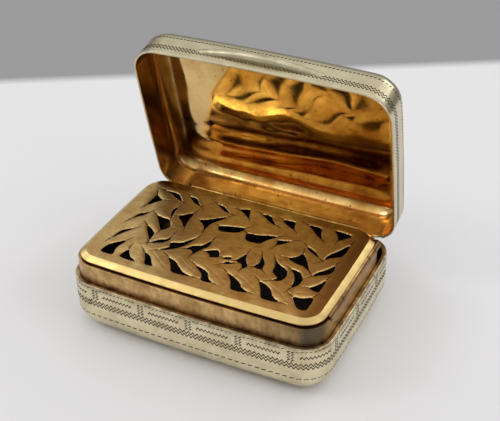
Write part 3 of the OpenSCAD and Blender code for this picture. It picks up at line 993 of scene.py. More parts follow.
@dataclass
class Lid:
    """Silver lid, gilt inside: upright wall, rounded upper edge and flat panel, standing open."""

    plan: Plan
    pose: LidPose
    rear: float
    notch: HingeNotch = HingeNotch()
    rim: float = 7.3
    top: float = 12.7
    round: float = 2.4
    sheet: float = 0.4
    rim_sheet: float = 0.28
    edge: float = 0.1
    flat_in: float = 0.25
    wall_stations: int = 8
    cut_roof: float = 7.55
    panel_steps: int = 44
    settle_rings: int = 6
    wave_rise: float = 0.03
    wave_x: float = 11.0
    wave_y: float = 9.0
    wave_phase: tuple = (1.2, 0.5)
    bend_rise: float = 0.044
    bend_start: float = 0.5
    bend_reach: float = 4.0
    bend_pitch: float = 3.2
    bend_slant: float = 0.05
    bend_sway: float = 0.3
    bend_sway_length: float = 3.7
    dents: tuple = ((-4.97, 0.72, 0.02, 1.0), (-1.56, 0.84, 0.02, 1.0), (2.05, 1.23, 0.02, 1.0),
                    (1.8, -2.0, -0.07, 2.2), (-5.2, -3.0, -0.05, 2.6), (5.7, -3.9, 0.06, 1.6),
                    (9.7, -3.9, -0.05, 1.5), (12.4, -2.4, 0.05, 1.4))

    @property
    def spring(self) -> float:
        """Gives the height at which the round springs from the wall of the shut lid."""
        return self.top - self.round

    def hollow(self, x: np.ndarray, y: np.ndarray) -> np.ndarray:
        """Gives how far the inner panel stands off flat.

        It is the sum of round dents, depth * exp(-(distance / radius)^2), of long waves beside the
        hinge, where the sheet was bent, and of one slow wave over the whole panel. A dent is a row of
        X, Y, depth and radius.

        Args:
            x: Places along the front, on the shut lid.
            y: Places from the front to the hinge.

        Returns:
            Heights, up on the shut lid.
        """
        full = 2 * math.pi
        along = np.sin(full * x / self.wave_x + self.wave_phase[0])
        across = np.sin(full * y / self.wave_y + self.wave_phase[1])
        rise = self.wave_rise * along * across
        near = np.clip((y - self.bend_start) / self.bend_reach, 0, 1)
        bend = y + self.bend_slant * x + self.bend_sway * np.sin(x / self.bend_sway_length)
        rise = rise + self.bend_rise * near * np.sin(full * bend / self.bend_pitch)
        for left, front, depth, radius in self.dents:
            rise = rise + depth * np.exp(-((x - left) ** 2 + (y - front) ** 2) / radius ** 2)
        return rise

    def build(self, silver: bpy.types.Material, gilt: bpy.types.Material,
              dull: bpy.types.Material) -> bpy.types.Object:
        """Lofts the shut lid from its inner panel over the rim to its outer panel, and opens it.

        The wall thins from the sheet's thickness to the rim.

        Args:
            silver: Finish of the outside.
            gilt: Finish of the inner panel.
            dull: Finish of the inner walls.

        Returns:
            The piece.
        """
        inner = quarter_round(self.round, self.round - self.sheet)
        outer = quarter_round(self.round, self.round)[::-1]
        wall = np.linspace(self.round, self.top - self.rim - self.edge, self.wall_stations)[1:-1]
        face = np.zeros_like(wall)
        flat = self.round + self.flat_in
        edge = rounded_edge(self.top - self.rim, self.rim_sheet, self.edge)[::-1]
        thin = np.linspace(self.sheet, self.rim_sheet, len(wall))
        stations = np.concatenate([
            [[flat, self.sheet]], inner, np.stack([thin, wall], 1), edge,
            np.stack([face, wall[::-1]], 1), outer, [[flat, 0.0]]])
        stations[:, 1] = self.top - stations[:, 1]
        rings = self.plan.rings(stations, self.rear)
        spring = self.spring
        hinge = self.notch.covers(rings, self.rear)
        share = (spring - self.cut_roof) / (spring - self.rim)
        raised = spring - (spring - rings[..., 2]) * share
        rings[..., 2] = np.where(hinge & (rings[..., 2] < spring), raised, rings[..., 2])
        panel = inward(rings[0], np.array([0.0, 0.0, rings[0, 0, 2]]), self.panel_steps)[::-1]
        settled = np.clip(np.arange(len(panel), 0, -1) / self.settle_rings, 0, 1)[:, None]
        panel[..., 2] += settled * self.hollow(panel[..., 0], panel[..., 1])
        rings = np.concatenate([panel, rings])
        heights = np.concatenate([np.full(len(panel), stations[0, 1]), stations[:, 1]])
        row = np.arange(len(rings) - 1)
        walls_start = len(panel) + 1
        outside_start = walls_start + len(inner) + len(wall)
        slots = np.select([row < walls_start, row < outside_start], [1, 2], 0)
        shape = loft(rings, self.plan.along(self.rear), heights, slots, Ends.CAPPED)
        shape.points = self.pose.open(shape.points)
        return shape.piece("lid_dome", [silver, gilt, dull], Body.LID, ("lid_shell",), "silver")


@dataclass
class Grille:
    """Bevelled gilt plate, pierced with a leaf garland round a spray, with eased saw edges.

    The cuts are what the saw takes out between the leaves, as corner points in order.
    """

    plan: Plan
    seat: Seat
    bevel: float = 0.7
    land: float = 0.08
    step: float = 0.1
    half_window: float = 13.9
    window_front: float = -9.1
    window_rear: float = 7.2
    edge_round: float = 0.08
    edge_fall: float = 0.9
    land_ease: float = 0.03
    corner_cut: float = 0.2
    snap: float = 0.42
    far: float = 9.0
    search: float = 1.0
    web: float = 0.3
    pillow: float = 0.07
    pillow_reach: float = 0.38
    rib_depth: float = 0.022
    rib_half: float = 0.17
    score_depth: float = 0.06
    score_half: float = 0.17
    score_length: float = 1.1
    score_back: float = 0.15
    score_taper: float = 0.75
    tip_angle: float = 80.0
    field_low: tuple = (-14.2, -8.95)
    field_high: tuple = (14.2, 7.1)
    flower: tuple = (0.5, -1.2)
    crisp: float = 30.0
    petals: int = 8
    petal_span: tuple = (0.4, 1.2)
    petal_squash: float = 0.8
    outer_ribs: tuple = (
        ((-10.6, -6.2), (-9.2, -7.3), (-7.5, -8.5)), ((-7.4, -6.3), (-6, -7.4), (-4.3, -8.5)),
        ((-3.9, -6.1), (-2.2, -7.1), (-0.3, -8.1)), ((-0.4, -6.1), (1.4, -7), (3.4, -8.4)),
        ((3.6, -6), (5.6, -7), (7.6, -8.4)), ((7.4, -5.9), (9.4, -6.9), (11.6, -8.4)),
        ((11.5, -6.2), (12.6, -5.9), (13.4, -5.5)), ((11.7, -4.4), (12.4, -3.2), (13.3, -1.9)),
        ((11.6, -1.2), (12.3, 0.1), (13.3, 1.6)), ((11.5, 2.2), (12.2, 3.7), (13.1, 5.6)),
        ((8.3, 4.6), (7.3, 5.3), (6.2, 6.5)), ((5.2, 4.6), (4.2, 5.2), (2.9, 6.5)),
        ((2.2, 4.7), (1, 5.5), (-0.2, 6.5)), ((-1.1, 4.7), (-2.2, 5.4), (-3.8, 6.4)),
        ((-4.5, 4.7), (-5.8, 5.4), (-7.6, 6.4)), ((-7.9, 4.6), (-9, 5.3), (-10.3, 6.4)),
        ((-11.4, 3.4), (-12.2, 2.2), (-13, 0.8)), ((-11.6, -0.4), (-12.4, -1.7), (-13.2, -3.3)),
        ((-11.5, -3.9), (-12.2, -5), (-12.9, -6)))
    inner_ribs: tuple = (
        ((-8.4, -5.4), (-7.2, -4.9), (-6.5, -4.2)), ((-5.6, -5.5), (-4.6, -4.9), (-3.7, -4.5)),
        ((-2.8, -5.4), (-1.9, -4.9), (-1.1, -4.6)), ((0, -5.3), (0.6, -4.7)),
        ((1.9, -5.3), (2.8, -4.8), (3.4, -4.4)), ((4.5, -5.2), (5.6, -4.7), (6.6, -4.2)),
        ((9.4, -5.4), (9.7, -4.4), (9.4, -3.4)), ((11.2, -2.6), (10, -1.9), (8.6, -1.7)),
        ((10.9, -0.4), (10.2, 0.6), (9.4, 1.5)), ((6.8, 3.9), (5.8, 3.2), (5.3, 2.6)),
        ((3.2, 4), (1.9, 3.1), (0.9, 2.4)), ((-0.4, 4.1), (-1.7, 3.2), (-2.9, 2.2)),
        ((-4.3, 4.2), (-5.6, 3.2), (-6.4, 2.3)), ((-8, 4.2), (-8.7, 3.4), (-8.9, 2.4)),
        ((-6.4, -3), (-5.6, -2.4), (-4.9, -1.6)), ((-8, -2.6), (-7.2, -1.6), (-6.9, -0.9)),
        ((-8.4, 0.4), (-7.6, 0), (-6.9, -0.6)), ((-6, 0.6), (-5.2, 0), (-4.6, -0.6)),
        ((-3.4, 0.8), (-2.9, 0), (-2.4, -0.7)), ((-7.8, -0.9), (-4, -0.8), (-1, -1.1)),
        ((2, -1.1), (4.6, -0.5), (6.8, -0.3)),
        ((6.95, 0.1), (7.2, 0.8), (7.6, 1.6), (8.1, 2.15), (8.8, 2.25)),
        ((8.85, 1.9), (8.9, 0.9), (8.6, 0.25), (8.1, -0.1)))
    front_cuts: tuple = (
        ((-13.3, -8.85), (-11.4, -8.85), (-11.9, -7.4), (-11.35, -5.4), (-12.5, -6.4), (-13.2, -7.4)),
        ((-10.8, -8.85), (-8, -8.9), (-9.6, -8.1), (-10.3, -6.8)),
        ((-8.4, -6.55), (-7.2, -7.1), (-6.5, -8.1), (-5.9, -8.85), (-7.1, -8.85), (-7.6, -7.7)),
        ((-5.3, -6.3), (-3.9, -6.8), (-2.9, -7.7), (-2.1, -8.3), (-0.6, -8.6), (-2.2, -8.85),
         (-3.5, -8.85), (-4.2, -7.6)),
        ((-1.8, -6.3), (-0.2, -6.75), (0.6, -7.2), (1.1, -8.1), (2.1, -8.7), (0.4, -8.85), (0.1, -7.7)),
        ((2.4, -6.05), (3.8, -6.65), (4.8, -7.3), (5.3, -8), (6.6, -8.5), (5.2, -8.85), (4.3, -8.85),
         (3.6, -7.3)),
        ((6.5, -5.95), (7.7, -6.3), (8.6, -7), (9.2, -8), (10.5, -8.6), (9.2, -8.85), (8.1, -8.85),
         (7.4, -7.3)),
        ((11.1, -6.95), (12.4, -6.9), (13.5, -6.1), (13.7, -7.5), (13.6, -8.8), (12.5, -8.8)))
    right_cuts: tuple = (
        ((12.2, -4.85), (13, -4), (13.6, -2.5), (13.7, -3.9), (13.65, -5.2), (12.9, -5.1)),
        ((11.7, -2.8), (12, -1.8), (12.8, -0.9), (13.5, 0.5), (13.7, -0.8), (13.4, -1.6), (12.7, -2.1)),
        ((11.75, 0.7), (11.9, 1.9), (12.6, 3), (13.6, 5.1), (13.7, 3.4), (13.5, 2.2), (12.6, 1.6)),
        ((10.6, 7), (11.4, 6.1), (11.9, 5), (12.5, 5.8), (13.3, 6.7), (12, 7)))
    rear_cuts: tuple = (
        ((7.1, 6.75), (8.2, 6), (8.9, 5.2), (10.1, 4.4), (9.4, 5.6), (9.2, 6.8)),
        ((3.8, 6.5), (4.6, 5.7), (6.2, 4.9), (5.8, 5.8), (5.7, 6.7)),
        ((0.9, 6.5), (2, 5.8), (2.7, 5.2), (3.9, 4.85), (3, 5.6), (2.3, 6.6)),
        ((-2.1, 6.2), (-1.1, 5.7), (0, 4.8), (-0.4, 5.8), (-0.7, 6.8), (-1.3, 6.6)),
        ((-5.2, 6.2), (-4.4, 5.6), (-3.6, 5.1), (-2.5, 4.85), (-3.5, 5.6), (-4.2, 6.1)),
        ((-9.4, 6.35), (-8.6, 5.7), (-7.9, 5.1), (-6.9, 4.75), (-7.5, 5.5), (-8.1, 6.25)),
        ((-13, 6.25), (-11.5, 5.75), (-10.4, 5), (-9.5, 4.75), (-10.1, 5.5), (-10.9, 6.3)))
    left_cuts: tuple = (
        ((-13.4, 5.1), (-12.8, 4.5), (-11.9, 4.1), (-12.5, 3.4), (-13.3, 2), (-13.4, 3.4)),
        ((-11.9, 1.2), (-12.5, 0.6), (-13.2, 0.1), (-13.5, -1.6), (-13, -0.6), (-12.4, 0)),
        ((-11.9, -2.9), (-12.6, -3.3), (-13.3, -4), (-13.55, -6.2), (-13, -4.8), (-12.5, -3.9)))
    spray_left_cuts: tuple = (
        ((-11.1, 0.85), (-10, 0.6), (-9, 0.65), (-8, -0.9), (-8.8, -2.1), (-9.8, -0.7)),
        ((-11, -1.6), (-9.8, -2.2), (-9.1, -2.9), (-9, -4.5), (-9.6, -3.6), (-10.4, -2.6)),
        ((-9.3, 3.6), (-9.25, 2.4), (-8.95, 0.9), (-9.5, 1.7), (-9.75, 2.8)),
        ((-6.8, 3.3), (-6.75, 1.6), (-6.3, -0.5), (-7.3, 0.7), (-8.5, 1.7), (-7.7, 2.3)),
        ((-2.4, 4.2), (-3.3, 2.7), (-3.9, 1.8), (-3.95, 0.1), (-4.5, 1.3), (-5.7, 2), (-4.5, 2.6),
         (-3.5, 3.5)),
        ((0.75, 2.95), (0.2, 1.5), (-2.2, 0.8), (-2.85, 1.9), (-1.4, 2.4)),
        ((-6.85, -2.2), (-6.75, -3.5), (-7.4, -4.3), (-8.8, -4.9), (-8.1, -3.8), (-7.1, -3.3)),
        ((-3.85, -1.3), (-4.3, -3), (-4.9, -4.3), (-6, -5.2), (-7.2, -5.8), (-6, -4.6), (-6.5, -3.7),
         (-5.1, -3.2), (-4.6, -2.4)),
        ((-1.95, -1), (-1.8, -2.6), (-2.3, -3.4), (-2.9, -4.9), (-3.2, -4), (-4.2, -4.1), (-3.6, -3.1),
         (-2.6, -2.7)))
    spray_right_cuts: tuple = (
        ((-2, -3.6), (-0.5, -2.6), (0, -3.1), (0.35, -4), (-0.8, -4.45), (-1, -3.8)),
        ((0.6, -3.8), (1.6, -3.2), (1.9, -3.7), (1.2, -4)),
        ((1.2, -4.95), (1.5, -4.25), (2.7, -4.1), (2.1, -4.6)),
        ((3.05, -1.8), (3.4, -3), (4.25, -4.1), (3.75, -4.9), (3.4, -3.95), (2.3, -3.75), (2.65, -2.9)),
        ((4.8, -1.4), (5.7, -2.5), (6.05, -4.05), (4.7, -3.95), (5.2, -2.9)),
        ((6.5, -1.4), (7.4, -2.2), (8.7, -2.8), (9.2, -4), (8.8, -5.1), (7.8, -5.35), (8.4, -4.6),
         (7.2, -3.9), (7.1, -2.7)),
        ((8.8, -2.35), (10.2, -2.5), (11.1, -3.6), (11.1, -4.8), (10.4, -5.9), (10.25, -4.3), (9.7, -3.1)),
        ((9.05, 1.1), (9.9, 0.1), (11.25, -2.1), (10.1, -1.3), (9, -1.25), (7.7, -0.65), (8.7, 0)),
        ((8.9, 2.5), (10.1, 2.05), (11.3, 0.8), (10.2, 1.4), (9.3, 1.9)),
        ((7, 2.75), (6.1, 1.7), (5.5, 1.1), (5.1, 2.2), (6, 2.4)),
        ((5.1, 2.9), (3.9, 1.5), (3.6, 0.5), (1.6, 0.4), (0.95, 2), (2.6, 2.1), (3.7, 2.6)))

    def cuts(self) -> list:
        """Gives every cut as a closed line whose corners are eased twice, as the saw line bends.

        Returns:
            One array of X and Y for each cut.
        """
        return [self.eased(self.eased(np.array(row, dtype=float))) for row in self.rows()]

    def rows(self) -> tuple:
        """Gives the corner points of every cut."""
        return (self.front_cuts + self.right_cuts + self.rear_cuts + self.left_cuts + self.spray_left_cuts
                + self.spray_right_cuts)

    def eased(self, line: np.ndarray) -> np.ndarray:
        """Cuts every corner of a closed line at a share of its two sides.

        Args:
            line: Corners in order.

        Returns:
            Two corners for each one.
        """
        after = np.roll(line, -1, axis=0)
        less = self.corner_cut
        more = 1 - self.corner_cut
        return np.stack([more * line + less * after, less * line + more * after], axis=1).reshape(-1, 2)

    def saw(self, spots: np.ndarray) -> tuple[np.ndarray, np.ndarray]:
        """Measures how far each spot lies from the nearest cut, below zero inside one.

        Args:
            spots: Rows of X and Y.

        Returns:
            The distances, and the nearest place on a cut's line.
        """
        away = np.full(len(spots), self.far)
        near = spots.copy()
        for line in self.cuts():
            close = np.all((spots > line.min(0) - self.search) & (spots < line.max(0) + self.search), axis=1)
            some = spots[close][:, None, :]
            side = np.roll(line, -1, axis=0) - line
            share = np.clip(((some - line) * side).sum(2) / (side ** 2).sum(1), 0, 1)
            place = line + share[..., None] * side
            gaps = np.linalg.norm(some - place, axis=2)
            pick = gaps.argmin(1)
            rows = np.arange(len(pick))
            gap = gaps[rows, pick]
            rise = (line[:, 1] > some[..., 1]) != (np.roll(line[:, 1], -1) > some[..., 1])
            lift = np.where(side[:, 1] == 0, 1e-9, side[:, 1])
            crossing = line[:, 0] + (some[..., 1] - line[:, 1]) * side[:, 0] / lift
            inside = (rise & (some[..., 0] < crossing)).sum(1) % 2 == 1
            signed = np.where(inside, -gap, gap)
            better = np.abs(signed) < np.abs(away[close])
            chosen = np.flatnonzero(close)[better]
            away[chosen] = signed[better]
            near[chosen] = place[rows, pick][better]
        return away, near

    def engraved(self, spots: np.ndarray) -> np.ndarray:
        """Gives the strength of the graver's lines: leaf ribs, and strokes round the flower.

        A line is a V that falls off evenly from its middle to its half width.

        Args:
            spots: Rows of X and Y.

        Returns:
            One strength for each spot, from zero beside a line to one in its middle.
        """
        turn = 2 * math.pi * np.arange(self.petals) / self.petals
        rays = np.stack([np.cos(turn), self.petal_squash * np.sin(turn)], axis=1)
        strokes = [np.array(self.flower) + np.outer(self.petal_span, ray) for ray in rays]
        gap = np.full(len(spots), self.far)
        for row in self.outer_ribs + self.inner_ribs + tuple(strokes):
            line = np.array(row, dtype=float)
            side = line[1:] - line[:-1]
            some = spots[:, None, :] - line[:-1]
            share = np.clip((some * side).sum(2) / (side ** 2).sum(1), 0, 1)
            gap = np.minimum(gap, np.linalg.norm(some - share[..., None] * side, axis=2).min(1))
        return np.clip(1 - gap / self.rib_half, 0, 1)

    def scored(self, spots: np.ndarray) -> np.ndarray:
        """Gives the strength of the graver's lines that carry a cut's sharp tips on round the leaves.

        A line starts at a corner sharper than the tip angle and runs on along the corner's middle
        line, unless it would leave the field of leaves. Its half width shrinks to a quarter along
        the way.

        Args:
            spots: Rows of X and Y.

        Returns:
            One strength for each spot, from zero beside a line to one in its middle.
        """
        strength = np.zeros(len(spots))
        for row in self.rows():
            line = np.array(row, dtype=float)
            back = np.roll(line, 1, axis=0) - line
            ahead = np.roll(line, -1, axis=0) - line
            back /= np.linalg.norm(back, axis=1)[:, None]
            ahead /= np.linalg.norm(ahead, axis=1)[:, None]
            sharp = (back * ahead).sum(1) > math.cos(math.radians(self.tip_angle))
            aim = -(back + ahead)
            aim /= np.linalg.norm(aim, axis=1)[:, None]
            stop = line + self.score_length * aim
            sharp &= np.all((stop > self.field_low) & (stop < self.field_high), axis=1)
            aim = aim[sharp]
            start = line[sharp] - self.score_back * aim
            some = spots[:, None, :] - start
            share = np.clip((some * aim).sum(2) / self.score_length, 0, 1)
            gap = np.linalg.norm(some - share[..., None] * self.score_length * aim, axis=2)
            width = self.score_half * (1 - self.score_taper * share)
            strength = np.maximum(strength, np.clip(1 - gap / width, 0, 1).max(1, initial=0))
        return strength

    def build(self, gilt: bpy.types.Material) -> bpy.types.Object:
        """Makes the plate as a fine grid with the cuts left out, inside a bevelled border.

        Grid cells whose middle lies in a cut are left out, and corners close to a cut are drawn
        onto its line. The top falls off in a small round beside each cut, and the plate is filed
        thin behind the pierced field. The border is the plan's outline carried from the underside
        over the land and the bevel to the grid's edge.

        Args:
            gilt: Finish of the plate.

        Returns:
            The piece.
        """
        x = np.linspace(-self.half_window, self.half_window, int(2 * self.half_window / self.step) + 1)
        y = np.linspace(self.window_front, self.window_rear,
                        int((self.window_rear - self.window_front) / self.step) + 1)
        spots = np.stack(np.meshgrid(x, y), axis=2)
        rows, columns = spots.shape[:2]
        index = np.arange(rows * columns).reshape(rows, columns)
        middles = (spots[:-1, :-1] + spots[1:, 1:]).reshape(-1, 2) / 2
        keep = self.saw(middles)[0] > 0
        cells = np.stack([index[:-1, :-1], index[:-1, 1:], index[1:, 1:], index[1:, :-1]], axis=2)
        cells = cells.reshape(-1, 4)[keep]
        flat = spots.reshape(-1, 2)
        away, near = self.saw(flat)
        drawn = away < self.snap * self.step
        flat = np.where(drawn[:, None], near, flat)
        away = np.maximum(np.where(drawn, 0.0, away), 0.0)
        fall = np.clip(1 - away / self.edge_round, 0, 1)
        top = self.seat.top - self.edge_round * (1 - np.sqrt(1 - self.edge_fall * fall ** 2))
        top -= self.pillow * np.exp(-away / self.pillow_reach)
        scored = self.scored(flat)
        ribbed = self.engraved(flat)
        top -= self.rib_depth * ribbed + self.score_depth * scored
        count = len(flat)
        upper = np.column_stack([flat, top])
        lower = np.column_stack([flat, np.full(count, self.seat.top - self.web)])
        sides = np.concatenate([cells[:, [0, 1]], cells[:, [1, 2]], cells[:, [2, 3]], cells[:, [3, 0]]])
        key = np.sort(sides, axis=1)
        _, first, uses = np.unique(key, axis=0, return_index=True, return_counts=True)
        single = sides[first[uses == 1]]
        loop = np.concatenate([index[0, :-1], index[:-1, -1], index[-1, :0:-1], index[:0:-1, 0]])
        border = np.isin(single, loop).all(axis=1)
        walls = single[~border]
        walls = np.column_stack([walls[:, 1], walls[:, 0], walls[:, 0] + count, walls[:, 1] + count])
        ring_points, ring_faces, ring_bevel = self.border(flat[loop], loop, count)
        points = np.concatenate([upper, lower, ring_points])
        faces = np.concatenate([cells, cells[:, ::-1] + count, walls, ring_faces])
        used = np.unique(faces)
        renumber = np.zeros(len(points), dtype=int)
        renumber[used] = np.arange(len(used))
        faces = renumber[faces]
        points = points[used]
        shape = Shape(points, faces.tolist(), points[faces.ravel(), :2], np.zeros(len(faces)))
        thing = shape.piece("grille_leafwork", [gilt], Body.GRILLE, ("grille_plate",), "gilt",
                            sharp=self.crisp)
        plain = np.zeros(len(ring_points))
        # in_cut is one on the underside and carries the painted shade in the cuts; saw_gap and ribbed carry
        # the lighter edges and ribs, partly painted highlight.
        marks = (("saw_gap", "POINT", np.concatenate([away, away, plain + self.far])[used]),
                 ("in_cut", "POINT", np.concatenate([np.zeros(count), np.ones(count), plain])[used]),
                 ("ribbed", "POINT", np.concatenate([ribbed, np.zeros(count), plain])[used]),
                 ("scored", "POINT", np.concatenate([scored, np.zeros(count), plain])[used]),
                 ("bevelled", "FACE", np.concatenate([np.zeros(len(faces) - len(ring_faces)), ring_bevel])))
        for name, domain, values in marks:
            layer = thing.data.attributes.new(name, "FLOAT", domain)
            layer.data.foreach_set("value", values.astype(np.float32))
        return thing

    def border(self, edge: np.ndarray, loop: np.ndarray,
               count: int) -> tuple[np.ndarray, np.ndarray, np.ndarray]:
        """Carries the plan's outline from the grid's lower edge round the bevel to its upper edge.

        Each grid corner on the edge meets the outline where the line from the middle of the window
        through it does, measured in shares of the window.

        Args:
            edge: Corners of the grid's edge in order.
            loop: Numbers of those corners.
            count: Number of grid corners on one face of the plate.

        Returns:
            The new points, the faces with their final numbers, and a one for each face of the bevel.
        """
        middle = np.array([0.0, (self.window_front + self.window_rear) / 2])
        half = np.array([self.half_window, (self.window_rear - self.window_front) / 2])
        fine = replace(self.plan, corner_steps=90, bow_steps=90, rear_steps=360)
        outer = self.seat.inset
        flat_in = outer + self.bevel
        outline = (fine.points(flat_in, self.seat.rear) - middle) / half
        turn = np.unwrap(np.arctan2(outline[:, 1], outline[:, 0]))
        aim = (edge - middle) / half
        want = np.arctan2(aim[:, 1], aim[:, 0])
        want = (want - turn[0]) % (2 * math.pi) + turn[0]
        number = np.interp(want, np.append(turn, turn[0] + 2 * math.pi), np.arange(len(turn) + 1))
        before = number.astype(int) % len(turn)
        after = (before + 1) % len(turn)
        share = (number - number.astype(int))[:, None]
        ease = self.land_ease
        foot = self.seat.low
        land = foot + self.land
        stations = ((flat_in, foot), (outer, foot), (outer, land), (outer + ease, land + ease),
                    (flat_in, self.seat.top))
        rings = []
        for inset, height in stations:
            line = fine.points(inset, self.seat.rear)
            place = line[before] * (1 - share) + line[after] * share
            rings.append(np.column_stack([place, np.full(len(place), height)]))
        size = len(loop)
        made = 2 * count + np.arange(len(rings) * size).reshape(-1, size)
        numbers = np.concatenate([[loop + count], made, [loop]])
        lower = numbers[:-1]
        upper = numbers[1:]
        faces = np.stack([lower, np.roll(lower, -1, 1), np.roll(upper, -1, 1), upper], axis=2)
        bevel_row = len(faces) - 2
        bevel = np.repeat(np.arange(len(faces)) == bevel_row, size).astype(float)
        return np.concatenate(rings), faces.reshape(-1, 4), bevel


@dataclass
class Wall:
    """Outer face of the tray or of the shut lid, reached by the way round it and the height on it."""

    plan: Plan
    rear: float
    spring: float
    radius: float
    upward: bool
    pose: LidPose | None = None
    lift: float = 0.008
    round_limit: float = 0.98
    rear_band: float = 1.0

    def ribbon(self, path: np.ndarray, width: float) -> np.ndarray:
        """Lays a ribbon along a path on the wall.

        A place is the outline's point less the inset of the round times the outline's normal. The
        two edges stand half the width to each side of the path and a hair above the metal.

        Args:
            path: Rows of way round and height.
            width: Width of the ribbon.

        Returns:
            Points of the two edges, by place on the path.
        """
        loop = self.plan.points(0.0, self.rear)
        way = self.plan.along(self.rear)
        loop = np.concatenate([loop, loop[:1]])
        side = np.gradient(loop, axis=0)
        side[0] = side[-1] = side[0] + side[-1]
        side /= np.linalg.norm(side, axis=1)[:, None]
        turn = (path[:, 0] - way[0]) % (way[-1] - way[0]) + way[0]
        spot = np.stack([np.interp(turn, way, loop[:, k]) for k in (0, 1)], axis=1)
        tangent = np.stack([np.interp(turn, way, side[:, k]) for k in (0, 1)], axis=1)
        out = np.stack([tangent[:, 1], -tangent[:, 0]], axis=1)
        over = path[:, 1] - self.spring if self.upward else self.spring - path[:, 1]
        over = np.clip(over, 0, self.round_limit * self.radius)
        inset = self.radius - np.sqrt(self.radius ** 2 - over ** 2)
        lean = over / self.radius * (1 if self.upward else -1)
        normal = np.column_stack([out * np.sqrt(1 - lean ** 2)[:, None], lean])
        place = np.column_stack([spot - out * inset[:, None], path[:, 1]])
        ahead = np.gradient(place, axis=0)
        ahead /= np.linalg.norm(ahead, axis=1)[:, None]
        across = np.cross(normal, ahead) * width / 2
        both = np.stack([place - across, place + across], axis=1) + (normal * self.lift)[:, None, :]
        return self.pose.open(both) if self.pose else both

    def behind(self, way: float, reach: float) -> bool:
        """Tells whether a place lies on the rear side, less than the reach from its middle.

        Args:
            way: Way round of the place.
            reach: Distance along X.

        Returns:
            True on that part of the rear side.
        """
        loop = self.plan.points(0.0, self.rear)
        round_to = self.plan.along(self.rear)
        turn = (way - round_to[0]) % (round_to[-1] - round_to[0]) + round_to[0]
        spot = loop[np.searchsorted(round_to, turn) % len(loop)]
        return bool(spot[1] > self.rear - self.rear_band and abs(spot[0]) < reach)


@dataclass(frozen=True)
class Stitch:
    """Kind of engraved line: half its height, the length of one repeat and the width of the cut."""

    swing: float
    pitch: float
    width: float


@dataclass
class WriggleWork:
    """Engraved zigzag lines on a wall, cut by rocking a flat graver along a line."""

    wall: Wall
    paths: list = field(default_factory=list)
    dash_share: float = 0.64

    @staticmethod
    def zigzag(start: float, stop: float, pitch: float) -> tuple[np.ndarray, np.ndarray]:
        """Gives the places of a zigzag's turns, and minus or plus one for the side of each."""
        count = max(2, int(round((stop - start) / pitch * 2)) + 1)
        return np.linspace(start, stop, count), np.where(np.arange(count) % 2, 1.0, -1.0)

    def row(self, start: float, stop: float, height: float, stitch: Stitch) -> None:
        """Adds a zigzag along the wall.

        Args:
            start: Way round at which it starts.
            stop: Way round at which it stops.
            height: Height of its middle.
            stitch: Its kind.
        """
        way, sign = self.zigzag(start, stop, stitch.pitch)
        self.paths.append((np.column_stack([way, height + stitch.swing * sign]), stitch.width))

    def post(self, way: float, low: float, high: float, stitch: Stitch) -> None:
        """Adds a zigzag up the wall.

        Args:
            way: Way round of its middle.
            low: Height of its lower end.
            high: Height of its upper end.
            stitch: Its kind, with the swing along the wall.
        """
        rise, sign = self.zigzag(low, high, stitch.pitch)
        self.paths.append((np.column_stack([way + stitch.swing * sign, rise]), stitch.width))

    def dashes(self, start: float, stop: float, height: float, stitch: Stitch) -> None:
        """Adds a line of dashes along the wall, each a little askew.

        Args:
            start: Way round at which it starts.
            stop: Way round at which it stops.
            height: Height of the line.
            stitch: Its kind, with the pitch from one dash to the next.
        """
        count = int(round((stop - start) / stitch.pitch))
        step = (stop - start) / count
        rise = height + np.array([-stitch.swing, stitch.swing])
        for number in range(count):
            way = start + (number + np.array([0.0, self.dash_share])) * step
            self.paths.append((np.column_stack([way, rise]), stitch.width))

    def build(self, name: str, finish: bpy.types.Material, body: Body) -> bpy.types.Object:
        """Joins all lines into one piece.

        Args:
            name: Name of the piece.
            finish: Finish of the cuts.
            body: Body that carries the wall.

        Returns:
            The piece.
        """
        points = []
        faces = []
        start = 0
        for path, width in self.paths:
            edges = self.wall.ribbon(path, width)
            first = start + 2 * np.arange(len(path) - 1)
            faces.append(np.stack([first, first + 2, first + 3, first + 1], axis=1))
            points.append(edges.reshape(-1, 3))
            start += 2 * len(path)
        points = np.concatenate(points)
        faces = np.concatenate(faces)
        shape = Shape(points, faces.tolist(), points[faces.ravel(), :2], np.zeros(len(faces)))
        return shape.piece(name, [finish], body, (), "silver")


